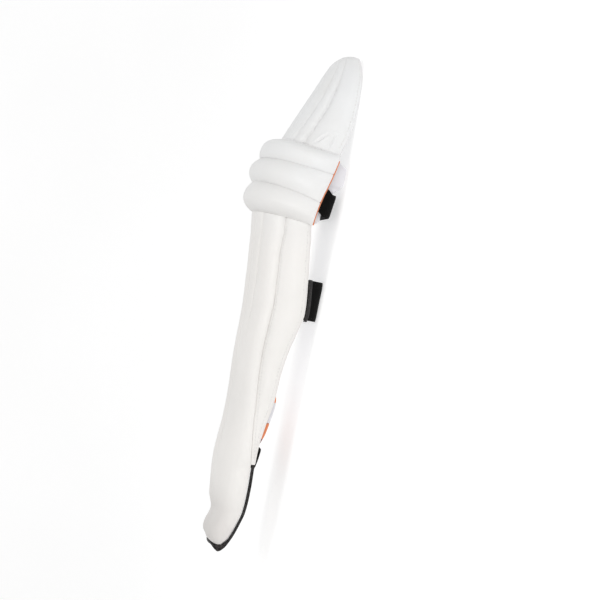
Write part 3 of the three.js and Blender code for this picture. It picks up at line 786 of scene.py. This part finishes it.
def shin_outer(along, across):
    y = along * PAD_LENGTH
    front = np.maximum(0, 1 - across**2)
    width = shin_width(along)
    down = channels(across, SHIN_SEAMS, SHIN_DEPTHS)
    side_seam = smooth(np.abs(across), 0.3, 0.5)
    down = down * (middle_depths(along) + side_seam * (shin_depths(along) - middle_depths(along)))
    channel = SHIN_CREST - (SHIN_CREST - SHIN_SEAM) * down
    dent = WAIST_DENT * hump(y - WAIST * PAD_LENGTH, WAIST_LENGTH) * front
    swell = TOP_SWELL * hump(y - KNEE_FROM * PAD_LENGTH, TOP_SWELL_LENGTH) * front
    from_side = (1 - np.abs(across)) * width
    winged = smooth(along, WING_FROM - 0.012, WING_FROM + 0.012)
    side_padding = EDGE_PADDING + (side_seam_lift(along) - EDGE_PADDING) * winged
    side_round = EDGE_ROUND + (SEAM_ROUND - EDGE_ROUND) * winged
    toe_edge = np.stack([np.interp(across, TOE_CENTRE, TOE_AT[:, k]) for k in range(3)], -1)
    from_toe = np.linalg.norm(on_back(along, across) - toe_edge, axis=-1)
    full = side_padding + (channel - dent + swell - side_padding) * pillow(from_side, side_round)
    lift = EDGE_PADDING + (full - EDGE_PADDING) * pillow(from_toe, TOE_ROUND)
    inside = smooth(from_side, 1, 8) * smooth(from_toe, 2, 12)
    x = across * width
    near = seam_distance(across, SHIN_SEAMS, width)
    held = smooth(along, 0.38, 0.5)
    lift = lift + inside * softness(x, y, 3, 0.55)
    lift = lift + inside * held * puckers(near, y, 11, pitch=13, reach=8, depth=0.5)
    lift = lift + winged * puckers(from_side, y, 15, pitch=12, reach=7, depth=0.45)
    return lift - inside * 0.8 * held * np.exp(-((near / 1.6) ** 2))


def shin_width(along):
    return half_girth(along) * shin_cover(along)


def shin_shade_and_grime(along, across):
    # Painted shade with some grime beside the shin's seams and the wing, and painted shade by the toe
    # binding.
    sewn = np.exp(-seam_distance(across, SHIN_SEAMS, shin_width(along)) / 2.2) * shin_depths(along)
    beside_wing = np.exp(-from_edge(along, across) / 2.5) * seam_shade_and_grime_share(along)
    return 0.8 * sewn + beside_wing + 0.9 * np.exp(-(along - TOE_START) * PAD_LENGTH / 5)


def make_shin_face():
    piece = shell(
        "shin_cover",
        (TOE_START, KNEE_FROM - SEAM_TOUCH / PAD_LENGTH),
        (280, 150),
        lambda a, c, lift: lifted(a, c * shin_cover(a), lift),
        shin_outer,
        lambda a, c: np.zeros(a.shape),
        shin_width,
        nose=(1.5, 0.8, 0.7),
        steep=0.35,
        marks={"seam": shin_shade_and_grime},
        ease=0.2,
    )
    dress(piece, FACE, "white_face", "shin_face", fill=0.85)


# The side wings


def wing_girth(along, share, side):
    seam = at(SECTIONS, "seam", along) + SEAM_TOUCH / half_girth(along)
    return side * (seam + (1 - seam) * share)


def wing_width(along):
    return (1 - at(SECTIONS, "seam", along)) * half_girth(along)


def wing_outer(along, share):
    width = wing_width(along)
    seam = side_seam_lift(along)
    full = seam + (WING_CREST - seam) * pillow(share * width, SEAM_ROUND)
    lift = EDGE_PADDING - 1.5 + (full - EDGE_PADDING + 1.5) * pillow((1 - share) * width, EDGE_ROUND)
    x, y = share * width, along * PAD_LENGTH
    inside = smooth(x, 1, 9) * smooth((1 - share) * width, 1, 9)
    lift = lift + inside * softness(x, y, 23, 0.6)
    lift = lift + puckers(x, y, 27, pitch=12, reach=8, depth=0.5)
    lift = lift + creases(x, y, [(25, 456, 27, 395, 5, 1.1)])
    return lift + puckers((1 - share) * width, y, 29, pitch=8, reach=6, depth=0.45)


def make_wing(name, cad_node, side):
    def share(across):
        return across if side > 0 else 1 - across

    piece = shell(
        name,
        (WING_FROM, KNEE_FROM - SEAM_TOUCH / PAD_LENGTH),
        (250, 56),
        lambda a, c, lift: lifted(a, wing_girth(a, share(c), side), lift),
        lambda a, c: wing_outer(a, share(c)),
        lambda a, c: BACK_CURL * smooth((1 - share(c)) * wing_width(a), CURL_REACH, 0),
        lambda a: np.maximum(wing_width(a), 1),
        nose=(1.5, 0.8, 0.7),
        steep=0.35,
        sides=(0, 1),
        # Painted shade with some grime along both edges of the wing.
        marks={"seam": lambda a, c: np.exp(-np.minimum(c, 1 - c) * wing_width(a) / 2.4) * seam_shade_and_grime_share(a)},
        ease=0.2,
    )
    dress(piece, FACE, "white_face", cad_node, fill=0.8)


# The knee


def make_knee_panel():
    piece = shell(
        "knee_panel_cover",
        (KNEE_FROM, KNEE_TO),
        (40, 120),
        lifted,
        lambda a, c: KNEE_PADDING - 0.2 - 4.5 * smooth(from_edge(a, c), 9, 0),
        lambda a, c: 0.8 * smooth(from_edge(a, c), CURL_REACH, 0),
        half_girth,
        nose=(1, 1, 3),
        # Painted shade along the knee panel's back edges.
        marks={"seam": lambda a, c: np.exp(-from_edge(a, c) / 4) * 0.5},
    )
    dress(piece, FACE, "white_face", "knee_panel", fill=0.8)


def roll_outer(start, end, crest, wall_from, wall_to, seed):
    """The lift of a knee roll: round between its walls, and thinning to its ends."""
    width = float(half_girth((start + end) / 2))

    def rise(along, across):
        share = np.clip((along - start) / (end - start), 0, 1)
        low = 1 - 0.6 * smooth(np.abs(across), 0.35, 0.8)  # a foot is lower at the sides
        foot_from = wall_from * low if wall_from < wall_to else wall_from
        foot_to = wall_to * low if wall_to < wall_from else wall_to
        wall = foot_from + (foot_to - foot_from) * smooth(share, 0.42, 0.58)
        arc = np.sin(np.pi * share) ** 0.72
        thin = 1 - (1 - ROLL_SIDE_SHARE) * across**2
        from_end = (1 - np.abs(across)) * width
        x, y = across * width, along * PAD_LENGTH
        body = (wall + (crest - wall) * arc) * thin
        from_wall = np.minimum(share, 1 - share) * (end - start) * PAD_LENGTH
        body = body + softness(x, y, seed, 0.7) * smooth(from_wall, 2, 12)
        body = body + puckers(from_wall, x, seed + 2, pitch=14, reach=5, depth=0.8)
        body = body + puckers(from_end, y, seed + 4, pitch=7, reach=16, depth=1.6)
        lift = ROLL_END_HEIGHT - 2 + (body - ROLL_END_HEIGHT + 2) * pillow(from_end, ROLL_END_LENGTH)
        return KNEE_PADDING + GAP + lift

    return rise


def make_roll(which, start, end, wall_from, wall_to, seed):
    piece = shell(
        f"knee_roll_{which}_cover",
        (start + SEAM_TOUCH / PAD_LENGTH, end - SEAM_TOUCH / PAD_LENGTH),
        (56, 260),
        lifted,
        roll_outer(start, end, ROLL_CRESTS[which] + 0.6, wall_from - 2, wall_to - 2, seed),
        lambda a, c: np.full(a.shape, KNEE_PADDING + GAP),
        half_girth,
        nose=(0.8, 0.8, 2),
        steep=0.6,
        # Painted shade in the grooves at each end of a roll.
        marks={"seam": lambda a, c: 0.35 * np.exp(-np.minimum(a - start, end - a) * PAD_LENGTH / 2.5)},
    )
    dress(piece, FACE, "white_face", f"knee_roll_{which}", fill=0.9)


# The top hat


HAT_CREASES = [
    # across from the ridge and along from the roll, for both ends, then half width and depth
    (78, 6, 84, 22, 1.6, 2.1),
    (96, 4, 92, 26, 1.5, 2.0),
    (58, 3, 62, 16, 1.4, 1.5),
    (34, 3, 36, 15, 1.6, 1.1),
    (104, 60, 112, 74, 1.4, 0.7),
]


def hat_power(along):
    """The hat's seams lie nearer the ridge at the roll than at the top."""
    return 0.83 + 0.17 * smooth(along, KNEE_TO, 0.93)


def hat_across(along, across):
    return np.sign(across) * np.abs(across) ** hat_power(along)


def hat_fade(along):
    """The hat's seams run out towards the top."""
    return 1 - 0.75 * smooth(along, 0.9, 0.975)


def hat_shade_and_grime(along, across):
    # Painted shade with some grime along the hat's seams, and painted shade where the hat meets the top roll.
    near = seam_distance(hat_across(along, across), HAT_SEAMS, half_girth(along))
    beside_roll = np.exp(-(along - KNEE_TO) * PAD_LENGTH / 6)
    return 0.7 * np.exp(-near / 2.2) * hat_fade(along) + 0.6 * beside_roll


def hat_outer(along, across):
    width = half_girth(along)
    sewn = hat_across(along, across)
    fade = hat_fade(along)
    down = channels(sewn, HAT_SEAMS, HAT_DEPTHS) * fade
    channel = HAT_CREST - (HAT_CREST - HAT_SEAM) * down
    from_side = (1 - np.abs(across)) * width
    from_top = (TOP_END - along) * PAD_LENGTH
    round_off = np.minimum(pillow(from_side, EDGE_ROUND), pillow(from_top, EDGE_ROUND))
    lift = EDGE_PADDING - 1.5 + (channel - EDGE_PADDING + 1.5) * round_off
    x, y = across * width, along * PAD_LENGTH
    near = seam_distance(sewn, HAT_SEAMS, width)
    inside = smooth(from_side, 1, 9) * smooth(from_top, 1, 9)
    lift = lift + inside * softness(x, y, 43, 0.6)
    lift = lift + inside * fade * puckers(near, y, 47, pitch=12, reach=7, depth=0.5)
    lift = lift + puckers(np.minimum(from_side, from_top), y + x, 49, pitch=8, reach=6, depth=0.4)
    from_roll = (along - KNEE_TO) * PAD_LENGTH
    lift = lift + puckers(from_roll, x, 51, pitch=15, reach=12, depth=1.3)
    lift = lift + creases(np.abs(x), from_roll, HAT_CREASES) * inside
    return lift - inside * 0.8 * fade * np.exp(-((near / 1.6) ** 2))


def make_top_hat():
    def inner(along, across):
        to_edge = np.minimum(from_edge(along, across), (TOP_END - along) * PAD_LENGTH)
        return BACK_CURL * smooth(to_edge, CURL_REACH, 0)

    piece = shell(
        "top_hat_cover",
        (KNEE_TO + SEAM_TOUCH / PAD_LENGTH, TOP_END),
        (150, 220),
        lifted,
        hat_outer,
        inner,
        half_girth,
        nose=(0.8, 3, 2.5),
        marks={"seam": hat_shade_and_grime},
    )
    dress(piece, FACE, "white_face", "top_hat", fill=0.8)


# The inner padding


def bolster_cover(along):
    return 1 + at(BOLSTER, "reach", along) * BOLSTER_OVERHANG / depth_at(along)


def make_bolster():
    start, end = float(BOLSTER["along"][0]), float(BOLSTER["along"][-1])

    def thick(along, across):
        from_side = from_edge(along, across)
        from_end = np.minimum(along - start, end - along) * PAD_LENGTH
        round_off = np.minimum(pillow(from_side, BOLSTER_PADDING), pillow(from_end, BOLSTER_PADDING))
        return BOLSTER_PADDING * (1 + round_off) / 2

    def place(along, across, lift):
        point = lifted(along, across * bolster_cover(along), lift)
        point[..., 2] = np.maximum(point[..., 2], 0.05)
        return point

    def outer(along, across):
        x, y = across * half_girth(along), along * PAD_LENGTH
        return -BOLSTER_GAP + 0.5 * noise(x / 14, y / 9, 61) - 0.6

    piece = shell(
        "knee_bolster_cover",
        (start, end),
        (80, 200),
        place,
        outer,
        lambda a, c: -BOLSTER_GAP - thick(a, c) + softness(c * half_girth(a), a * PAD_LENGTH, 63, 0.5),
        lambda a: half_girth(a) * bolster_cover(a),
        nose=(2.5, 2.5, 3),
        marks={"seam": lambda a, c: 0.5 * np.exp(-(((a - 0.747) * PAD_LENGTH / 1.6) ** 2))},
    )
    dress(piece, BOLSTER_CLOTH, "white_cloth", "knee_bolster", fill=0.7)


def lining_cover(along):
    behind = at(LINING, "behind", along) * LINING_OVERHANG / depth_at(along)
    return at(LINING, "cover", along) + behind


def make_lining(name, cad_node, start, end, finish, slot, steps, seed, dye_and_shadow):
    def thick(along, across):
        from_side = from_edge(along, across)
        padded = LINING_EDGE + (LINING_PADDING - LINING_EDGE) * pillow(from_side, LINING_PADDING)
        quilted = np.abs(np.sin(np.pi * across * 4)) ** 0.5
        return padded * (0.8 + 0.2 * quilted)

    piece = shell(
        name,
        (start, end),
        steps,
        lambda a, c, lift: lifted(a, c * lining_cover(a), lift),
        lambda a, c: -LINING_GAP - 0.3 + 0.25 * noise(c * half_girth(a) / 9, a * PAD_LENGTH / 9, seed),
        lambda a, c: -LINING_GAP - thick(a, c),
        lambda a: half_girth(a) * lining_cover(a),
        nose=(1, 1, 1.5),
        marks={
            "seam": lambda a, c: np.full(a.shape, 0.1),
            # A second colour where marked: a real orange patch on the shin lining, a painted strap shadow on
            # the ankle lining.
            "dye_and_shadow": lambda a, c: np.where((a > dye_and_shadow[0]) & (a < dye_and_shadow[1]) & (np.abs(c) > 0.9), 1.0, 0.0),
        },
    )
    dress(piece, finish, slot, cad_node, fill=0.7)


# Straps


def strap_path(along, inside, back, corner):
    """Half a strap's path in one section: pairs of a place across and a drop below the ridge."""
    ridge_y, ridge_z, _, down_y, down_z, half = [float(v) for v in section_at(along)]
    girth = np.linspace(1 - STRAP_ANCHOR, 1, STRAP_ANCHOR_STEPS)
    point = lifted(along, girth, np.full(girth.shape, -inside))
    path = np.stack([point[:, 0], (point[:, 1] - ridge_y) * down_y + (point[:, 2] - ridge_z) * down_z], -1)
    level, side = (ridge_z - back) / -down_z, half - inside
    lowest = level - corner - GAP * 4 * np.linspace(1, 0.1, STRAP_ANCHOR_STEPS)
    path[:, 1] = np.minimum(path[:, 1], lowest)  # so that the path never turns back
    turn = np.linspace(0, math.pi / 2, 12)
    bend = np.stack([side - corner * (1 - np.cos(turn)), level - corner * (1 - np.sin(turn))], -1)
    run = np.linspace(1, 0, 10)[1:, None]
    flat = np.concatenate([(side - corner) * run, np.full(run.shape, level)], -1)
    return np.concatenate([path, bend, flat])


def make_strap(which, cad_node):
    strap = STRAPS[which]
    centre = strap["at"] * PAD_LENGTH
    width, corner, back = strap["width"], strap["corner"], strap["back"]
    rows = np.linspace(-0.5, 0.5, 27)
    edge = 1 - np.abs(2 * rows) ** 10
    thin = STRAP_THICKNESS * (0.5 + 0.5 * edge)

    def surface(row, inner):
        y = centre + rows[row] * width
        along = y / PAD_LENGTH
        _, ridge_z, depth, _, down_z, _ = [float(v) for v in section_at(along)]
        slack = (STRAP_THICKNESS - thin[row]) / 2
        inset = STRAP_THICKNESS - slack if inner else slack
        lean = strap["rise"] * (0.5 - rows[row])
        path = strap_path(along, strap["inside"] + inset, back + lean + inset, corner - inset)
        both = np.concatenate([path, (path * [-1, 1])[::-1][1:]])
        behind = smooth((both[:, 1] - depth) / (1.25 * corner), 0, 1)
        place_y = y - strap["skew"] * behind
        return np.stack([both[:, 0], place_y, ridge_z + down_z * both[:, 1]], -1)

    outer = np.stack([surface(r, False) for r in range(len(rows))])
    inner = np.stack([surface(r, True) for r in range(len(rows))])
    m, n = outer.shape[:2]
    run = run_along(outer[m // 2])
    ripple = 0.25 * noise(run[None, :] / 13 + 5, rows[:, None] * width / 16, 71)
    outer[..., 2] = np.maximum(outer[..., 2] + ripple, 0 if back == 0 else -9)
    if back == 0:
        middle = np.abs(outer[..., 0]) < 30
        outer[..., 2] = np.where(middle, np.minimum(outer[..., 2], 0.05), outer[..., 2])
    points, faces = slab(outer, inner)
    grid = np.stack(np.broadcast_arrays(run[None, :], rows[:, None] * width), -1).reshape(-1, 2)
    woven = np.tile(smooth(np.abs(rows), 0.44, 0.47)[:, None], n).ravel()
    cloth, marks = np.concatenate([grid, grid]), {"border": np.tile(woven, 2)}
    piece = add_mesh(f"{which}_strap_webbing", points, faces, cloth, marks)
    dress(piece, WEBBING, "black_webbing", cad_node)
    paths = []
    for row in (2, m - 3):
        path = outer[row]
        across = outer[min(row + 1, m - 1)] - outer[row - 1]
        lengthways = np.gradient(path, axis=0)
        facing = np.cross(across, lengthways)
        facing /= np.linalg.norm(facing, axis=1, keepdims=True)
        paths.append((path + facing * 0.15, facing))
    return paths


def make_tab():
    place = STRAPS["calf"]["at"]
    half = TAB_WIDTH / 2 / PAD_LENGTH
    m, n = 60, 14
    y = np.linspace(-1, 1, m)[:, None]
    x = np.linspace(0, 1, n)[None, :]
    rounded = 1 - 0.1 * smooth(np.abs(y), 0.9, 1.0)
    reach = 2 * LINING_GAP + (TAB_REACH - 2 * LINING_GAP) * x * rounded
    along = place + half * y * np.ones_like(x)
    girth = 1 + reach / depth_at(along)
    fuzz = 0.18 * noise(y * 20 + 3, x * 5, 81)
    outer = lifted(along, girth, TAB_THICKNESS - 0.7 * smooth(x, 0.8, 1) * np.ones_like(y) + fuzz)
    inner = lifted(along, girth, np.full(girth.shape, 0.1))
    points, faces = slab(outer, inner)
    cloth = np.stack([reach * np.ones_like(along), along * PAD_LENGTH], -1).reshape(-1, 2)
    marks = {"border": np.tile((smooth(x, 0.75, 0.95) * np.ones_like(y)).ravel(), 2)}
    piece = add_mesh("calf_tab_tape", points, faces, np.concatenate([cloth, cloth]), marks)
    dress(piece, TAB_TAPE, "black_binding", "calf_strap_tab")


# Piping and binding


def make_piping(name, cad_node, side):
    along = np.linspace(KNEE_FROM + 3 * GAP / PAD_LENGTH, KNEE_TO - 0.009, 70)
    radius = PIPING_DIAMETER / 2 * 0.72
    centre = lifted(along, side * (1 + (GAP + radius) / depth_at(along)), np.full(along.shape, PIPING_OFFSET))
    centre[:, 1] += 0.15 * np.sin(along * 900)
    thick = radius * (1 + 0.05 * noise(along * 400, along * 0, 91))
    piece = tube(name, centre, thick, 12, outward(along, side * np.ones(along.shape)))
    piece.data.attributes.new("seam", "FLOAT", "POINT")
    dress(piece, ORANGE_CLOTH, "orange_trim", cad_node)


def make_binding():
    toe = TOE_START - BINDING_GAP / PAD_LENGTH

    def inner_girth(along):
        return float(1 - BINDING_WIDTH / half_girth(along) - toe_corner(along))

    def outer_girth(along):
        return float(1 - rounded_corner(along, 0, TOE_CORNER_SPAN, 0.5 * TOE_CORNER_SHARE))

    bend = TOE_START + TOE_CORNER_SPAN
    side = np.linspace(BINDING_TO, bend, 120)
    turning = 1 - np.sin(np.linspace(0, math.pi / 2, 40)[1:])
    front = np.linspace(1, 0, 60)[1:]
    froms = [(a, inner_girth(a)) for a in side]
    froms += [(a, inner_girth(a)) for a in toe + (bend - toe) * turning]
    froms += [(toe, inner_girth(toe) * g) for g in front]
    tos = [(a, 1.0) for a in side]
    tos += [(a, outer_girth(a)) for a in bend * turning]
    tos += [(0.0, outer_girth(0) * g) for g in front]
    froms = froms + [(a, -g) for a, g in froms[:-1][::-1]]
    tos = tos + [(a, -g) for a, g in tos[:-1][::-1]]
    froms, tos = np.array(froms), np.array(tos)
    high, low = EDGE_PADDING + BINDING_PROUD, -BINDING_PROUD
    turn = np.linspace(math.pi / 2, -math.pi / 2, 11)
    middle, half = (high + low) / 2, (high - low) / 2
    nose_out = 0.62 + 0.38 * np.cos(turn) ** 0.8
    nose_lift = middle + half * np.sin(turn)
    out = np.concatenate([[0, 0.06, 0.3], nose_out, [0.3, 0.06, 0]])
    lift = np.concatenate([[high - 1.2, high - 0.25, high], nose_lift, [low, low + 0.25, low + 1.2]])
    rings = []
    for f, t in zip(froms, tos):
        a = f[0] + (t[0] - f[0]) * out
        g = f[1] + (t[1] - f[1]) * out
        beside = (abs(t[1]) / outer_girth(0)) ** 3  # the front strip is fuller near its corners
        fuller = 0.25 * math.sin(math.pi * beside) ** 2 if t[0] == 0 else 0
        rings.append(lifted(a, g, lift * (1 + fuller * out)))
    points = np.array(rings)
    m, n = points.shape[:2]
    i, j = np.meshgrid(np.arange(m - 1), np.arange(n), indexing="ij")
    quads = np.stack([i * n + j, (i + 1) * n + j, (i + 1) * n + (j + 1) % n, i * n + (j + 1) % n], -1)
    faces = [list(q) for q in quads.reshape(-1, 4)]
    faces.append(list(range(n)))
    faces.append([(m - 1) * n + k for k in range(n - 1, -1, -1)])
    run, around = run_along(points[:, 6]), run_along(points[20])
    cloth = np.stack(np.broadcast_arrays(around[None, :], run[:, None]), -1).reshape(-1, 2)
    piece = add_mesh("instep_binding_hide", points.reshape(-1, 3), faces, cloth)
    dress(piece, BINDING_HIDE, "black_binding", "instep_binding")
    facing = outward(*(froms + (tos - froms) * 0.3).T)
    return [(points[:, 2] + facing * 0.1, facing)]


# Stitching


def make_stitching(strap_rows, binding_rows):
    rows = []
    for seam in SHIN_SEAMS[1:-1]:
        first = 0.46 if abs(seam) > 0.5 else 0.2  # the outer seams run out below the calf
        along = np.linspace(first, KNEE_FROM - 0.012, 260)
        across = np.full(along.shape, float(seam))
        rows.append(on_surface(along, across * shin_cover(along), shin_outer(along, across) + 0.15))
    along = np.linspace(WING_FROM + 0.01, KNEE_FROM - 0.012, 260)
    from_seam = np.minimum(3.5 / wing_width(along), 0.4)
    from_back = 1 - np.minimum(EDGE_STITCH / wing_width(along), 0.45)
    for side in (-1, 1):
        for share in (from_seam, from_back):
            rows.append(on_surface(along, wing_girth(along, share, side), wing_outer(along, share) + 0.1))
    dress(stitches("shin_stitching", rows, width=0.45, height=0.2), WHITE_THREAD, "white_face")
    rows = []
    along = np.linspace(KNEE_TO + 0.012, 0.965, 140)
    for seam in HAT_SEAMS[1:-1]:
        across = math.copysign(1, seam) * abs(seam) ** (1 / hat_power(along))
        rows.append(on_surface(along, across, hat_outer(along, across) + 0.15))
    along = np.linspace(KNEE_TO + 0.012, 0.985, 160)
    for side in (-1, 1):
        across = side * (1 - EDGE_STITCH / half_girth(along))
        rows.append(on_surface(along, across, hat_outer(along, across) + 0.1))
    dress(stitches("hat_stitching", rows, width=0.45, height=0.2), WHITE_THREAD, "white_face")
    for name, rows, height, slot in (
        ("strap_stitching", strap_rows, 0.25, "black_webbing"),
        ("binding_stitching", binding_rows, 0.3, "black_binding"),
    ):
        dress(stitches(name, rows, width=0.5, height=height), BLACK_THREAD, slot)


make_shin_face()
make_wing("side_wing_outer_cover", "side_wing_outer", 1)
make_wing("side_wing_inner_cover", "side_wing_inner", -1)
make_knee_panel()
make_roll("lower", KNEE_FROM, JOIN_LOWER, ROLL_FOOT + 3.5, ROLL_WALL, 31)
make_roll("middle", JOIN_LOWER, JOIN_UPPER, ROLL_WALL, ROLL_WALL, 131)
make_roll("upper", JOIN_UPPER, KNEE_TO, ROLL_WALL, ROLL_FOOT + 1, 231)
make_top_hat()
make_bolster()
# The ankle lining's marked span by its back edges carries the painted shadow of the ankle strap.
make_lining(
    "ankle_lining_cloth", "ankle_lining", ANKLE_LINING_FROM, ANKLE_LINING_TO - GAP / PAD_LENGTH,
    ORANGE_CLOTH, "orange_trim", (60, 120), 65, (0, 0.235),
)
make_lining(
    "shin_lining_cloth", "shin_lining", ANKLE_LINING_TO, SHIN_LINING_TO,
    LINING_CLOTH, "white_cloth", (150, 100), 67, (0.309, 0.319),
)
strap_rows = make_strap("knee", "knee_strap")
strap_rows += make_strap("calf", "calf_strap")
strap_rows += make_strap("ankle", "ankle_strap")
make_tab()
make_piping("knee_piping_outer_cord", "knee_piping_outer", 1)
make_piping("knee_piping_inner_cord", "knee_piping_inner", -1)
binding_rows = make_binding()
make_stitching(strap_rows, binding_rows)


# Floor, light and camera

FLOOR_HALF = 6.0
SWEEP_FROM = 1.1  # the floor runs level this far behind the guard, then sweeps up
SWEEP_RADIUS = 1.6
PAPER_GLOW = 0.58  # the paper is lit from behind, as a light table is


def make_floor():
    x = [FLOOR_HALF, 3, 1, 0, -SWEEP_FROM]
    z = [0.0] * 5
    for turn in np.linspace(0, math.pi / 2, 24)[1:]:
        x.append(-SWEEP_FROM - SWEEP_RADIUS * math.sin(turn))
        z.append(SWEEP_RADIUS * (1 - math.cos(turn)))
    x.append(x[-1])
    z.append(z[-1] + 4)
    y = np.linspace(-FLOOR_HALF, FLOOR_HALF, 9)
    points = [(px, py, pz) for px, pz in zip(x, z) for py in y]
    mesh = bpy.data.meshes.new("studio_floor")
    mesh.from_pydata(points, [], grid_faces(len(x), len(y)).tolist())
    mesh.shade_smooth()
    made, tree, shader = material("studio_paper", 0.9, 0.1)
    faint = noise_ramp(tree, place_map(tree), 1.5, 2, 0.3, 0.7)
    tone = mix(tree, faint, (0.52, 0.52, 0.52, 1), (0.54, 0.54, 0.54, 1))
    tree.links.new(tone, shader.inputs["Base Color"])
    shader.inputs["Emission Color"].default_value = (1, 1, 1, 1)
    shader.inputs["Emission Strength"].default_value = PAPER_GLOW
    mesh.materials.append(made)
    add_object("studio_floor", mesh)


def add_light(name, location, size, power):
    data = bpy.data.lights.new(name, "AREA")
    data.shape, data.size, data.energy = "DISK", size, power
    light = add_object(name, data)
    light.location = location
    light.rotation_mode = "QUATERNION"
    light.rotation_quaternion = (Vector((0, 0, 0.05)) - Vector(location)).to_track_quat("-Z", "Y")


ELEVATION, LEAN, DISTANCE = math.radians(7), math.radians(11), 2.3
FOCUS = Vector((0, (350 - ORIGIN_AT) * METRES, 0.04))
FOCAL_PIXELS = 1653.7  # for a picture 600 pixels wide
SHIFT = (16.33 / 600, 3.14 / 600)


def add_camera():
    ahead = Vector((-math.cos(ELEVATION), 0, -math.sin(ELEVATION)))
    level = Vector((math.sin(ELEVATION), 0, -math.cos(ELEVATION)))
    length = Vector((0, 1, 0))
    right = level * math.cos(LEAN) + length * math.sin(LEAN)
    upward = -level * math.sin(LEAN) + length * math.cos(LEAN)
    data = bpy.data.cameras.new("camera")
    data.sensor_width = 36
    data.lens = FOCAL_PIXELS / 600 * data.sensor_width
    data.shift_x, data.shift_y = SHIFT
    camera = add_object("camera", data)
    turned = Matrix((right, upward, -ahead)).transposed()
    camera.matrix_world = Matrix.Translation(FOCUS - ahead * DISTANCE) @ turned.to_4x4()
    bpy.context.scene.camera = camera


def add_world():
    world = bpy.data.worlds.new("studio")
    bpy.context.scene.world = world
    world.use_nodes = True
    back = world.node_tree.nodes["Background"]
    back.inputs["Color"].default_value = (1, 1, 1, 1)
    back.inputs["Strength"].default_value = 0.52


make_floor()
add_world()
add_light("above", (0.6, 0.35, 2.2), 1.8, 11)
add_light("beside", (2.2, -0.05, 0.9), 1.6, 18)
add_camera()
bpy.context.scene.view_settings.view_transform = "Standard"
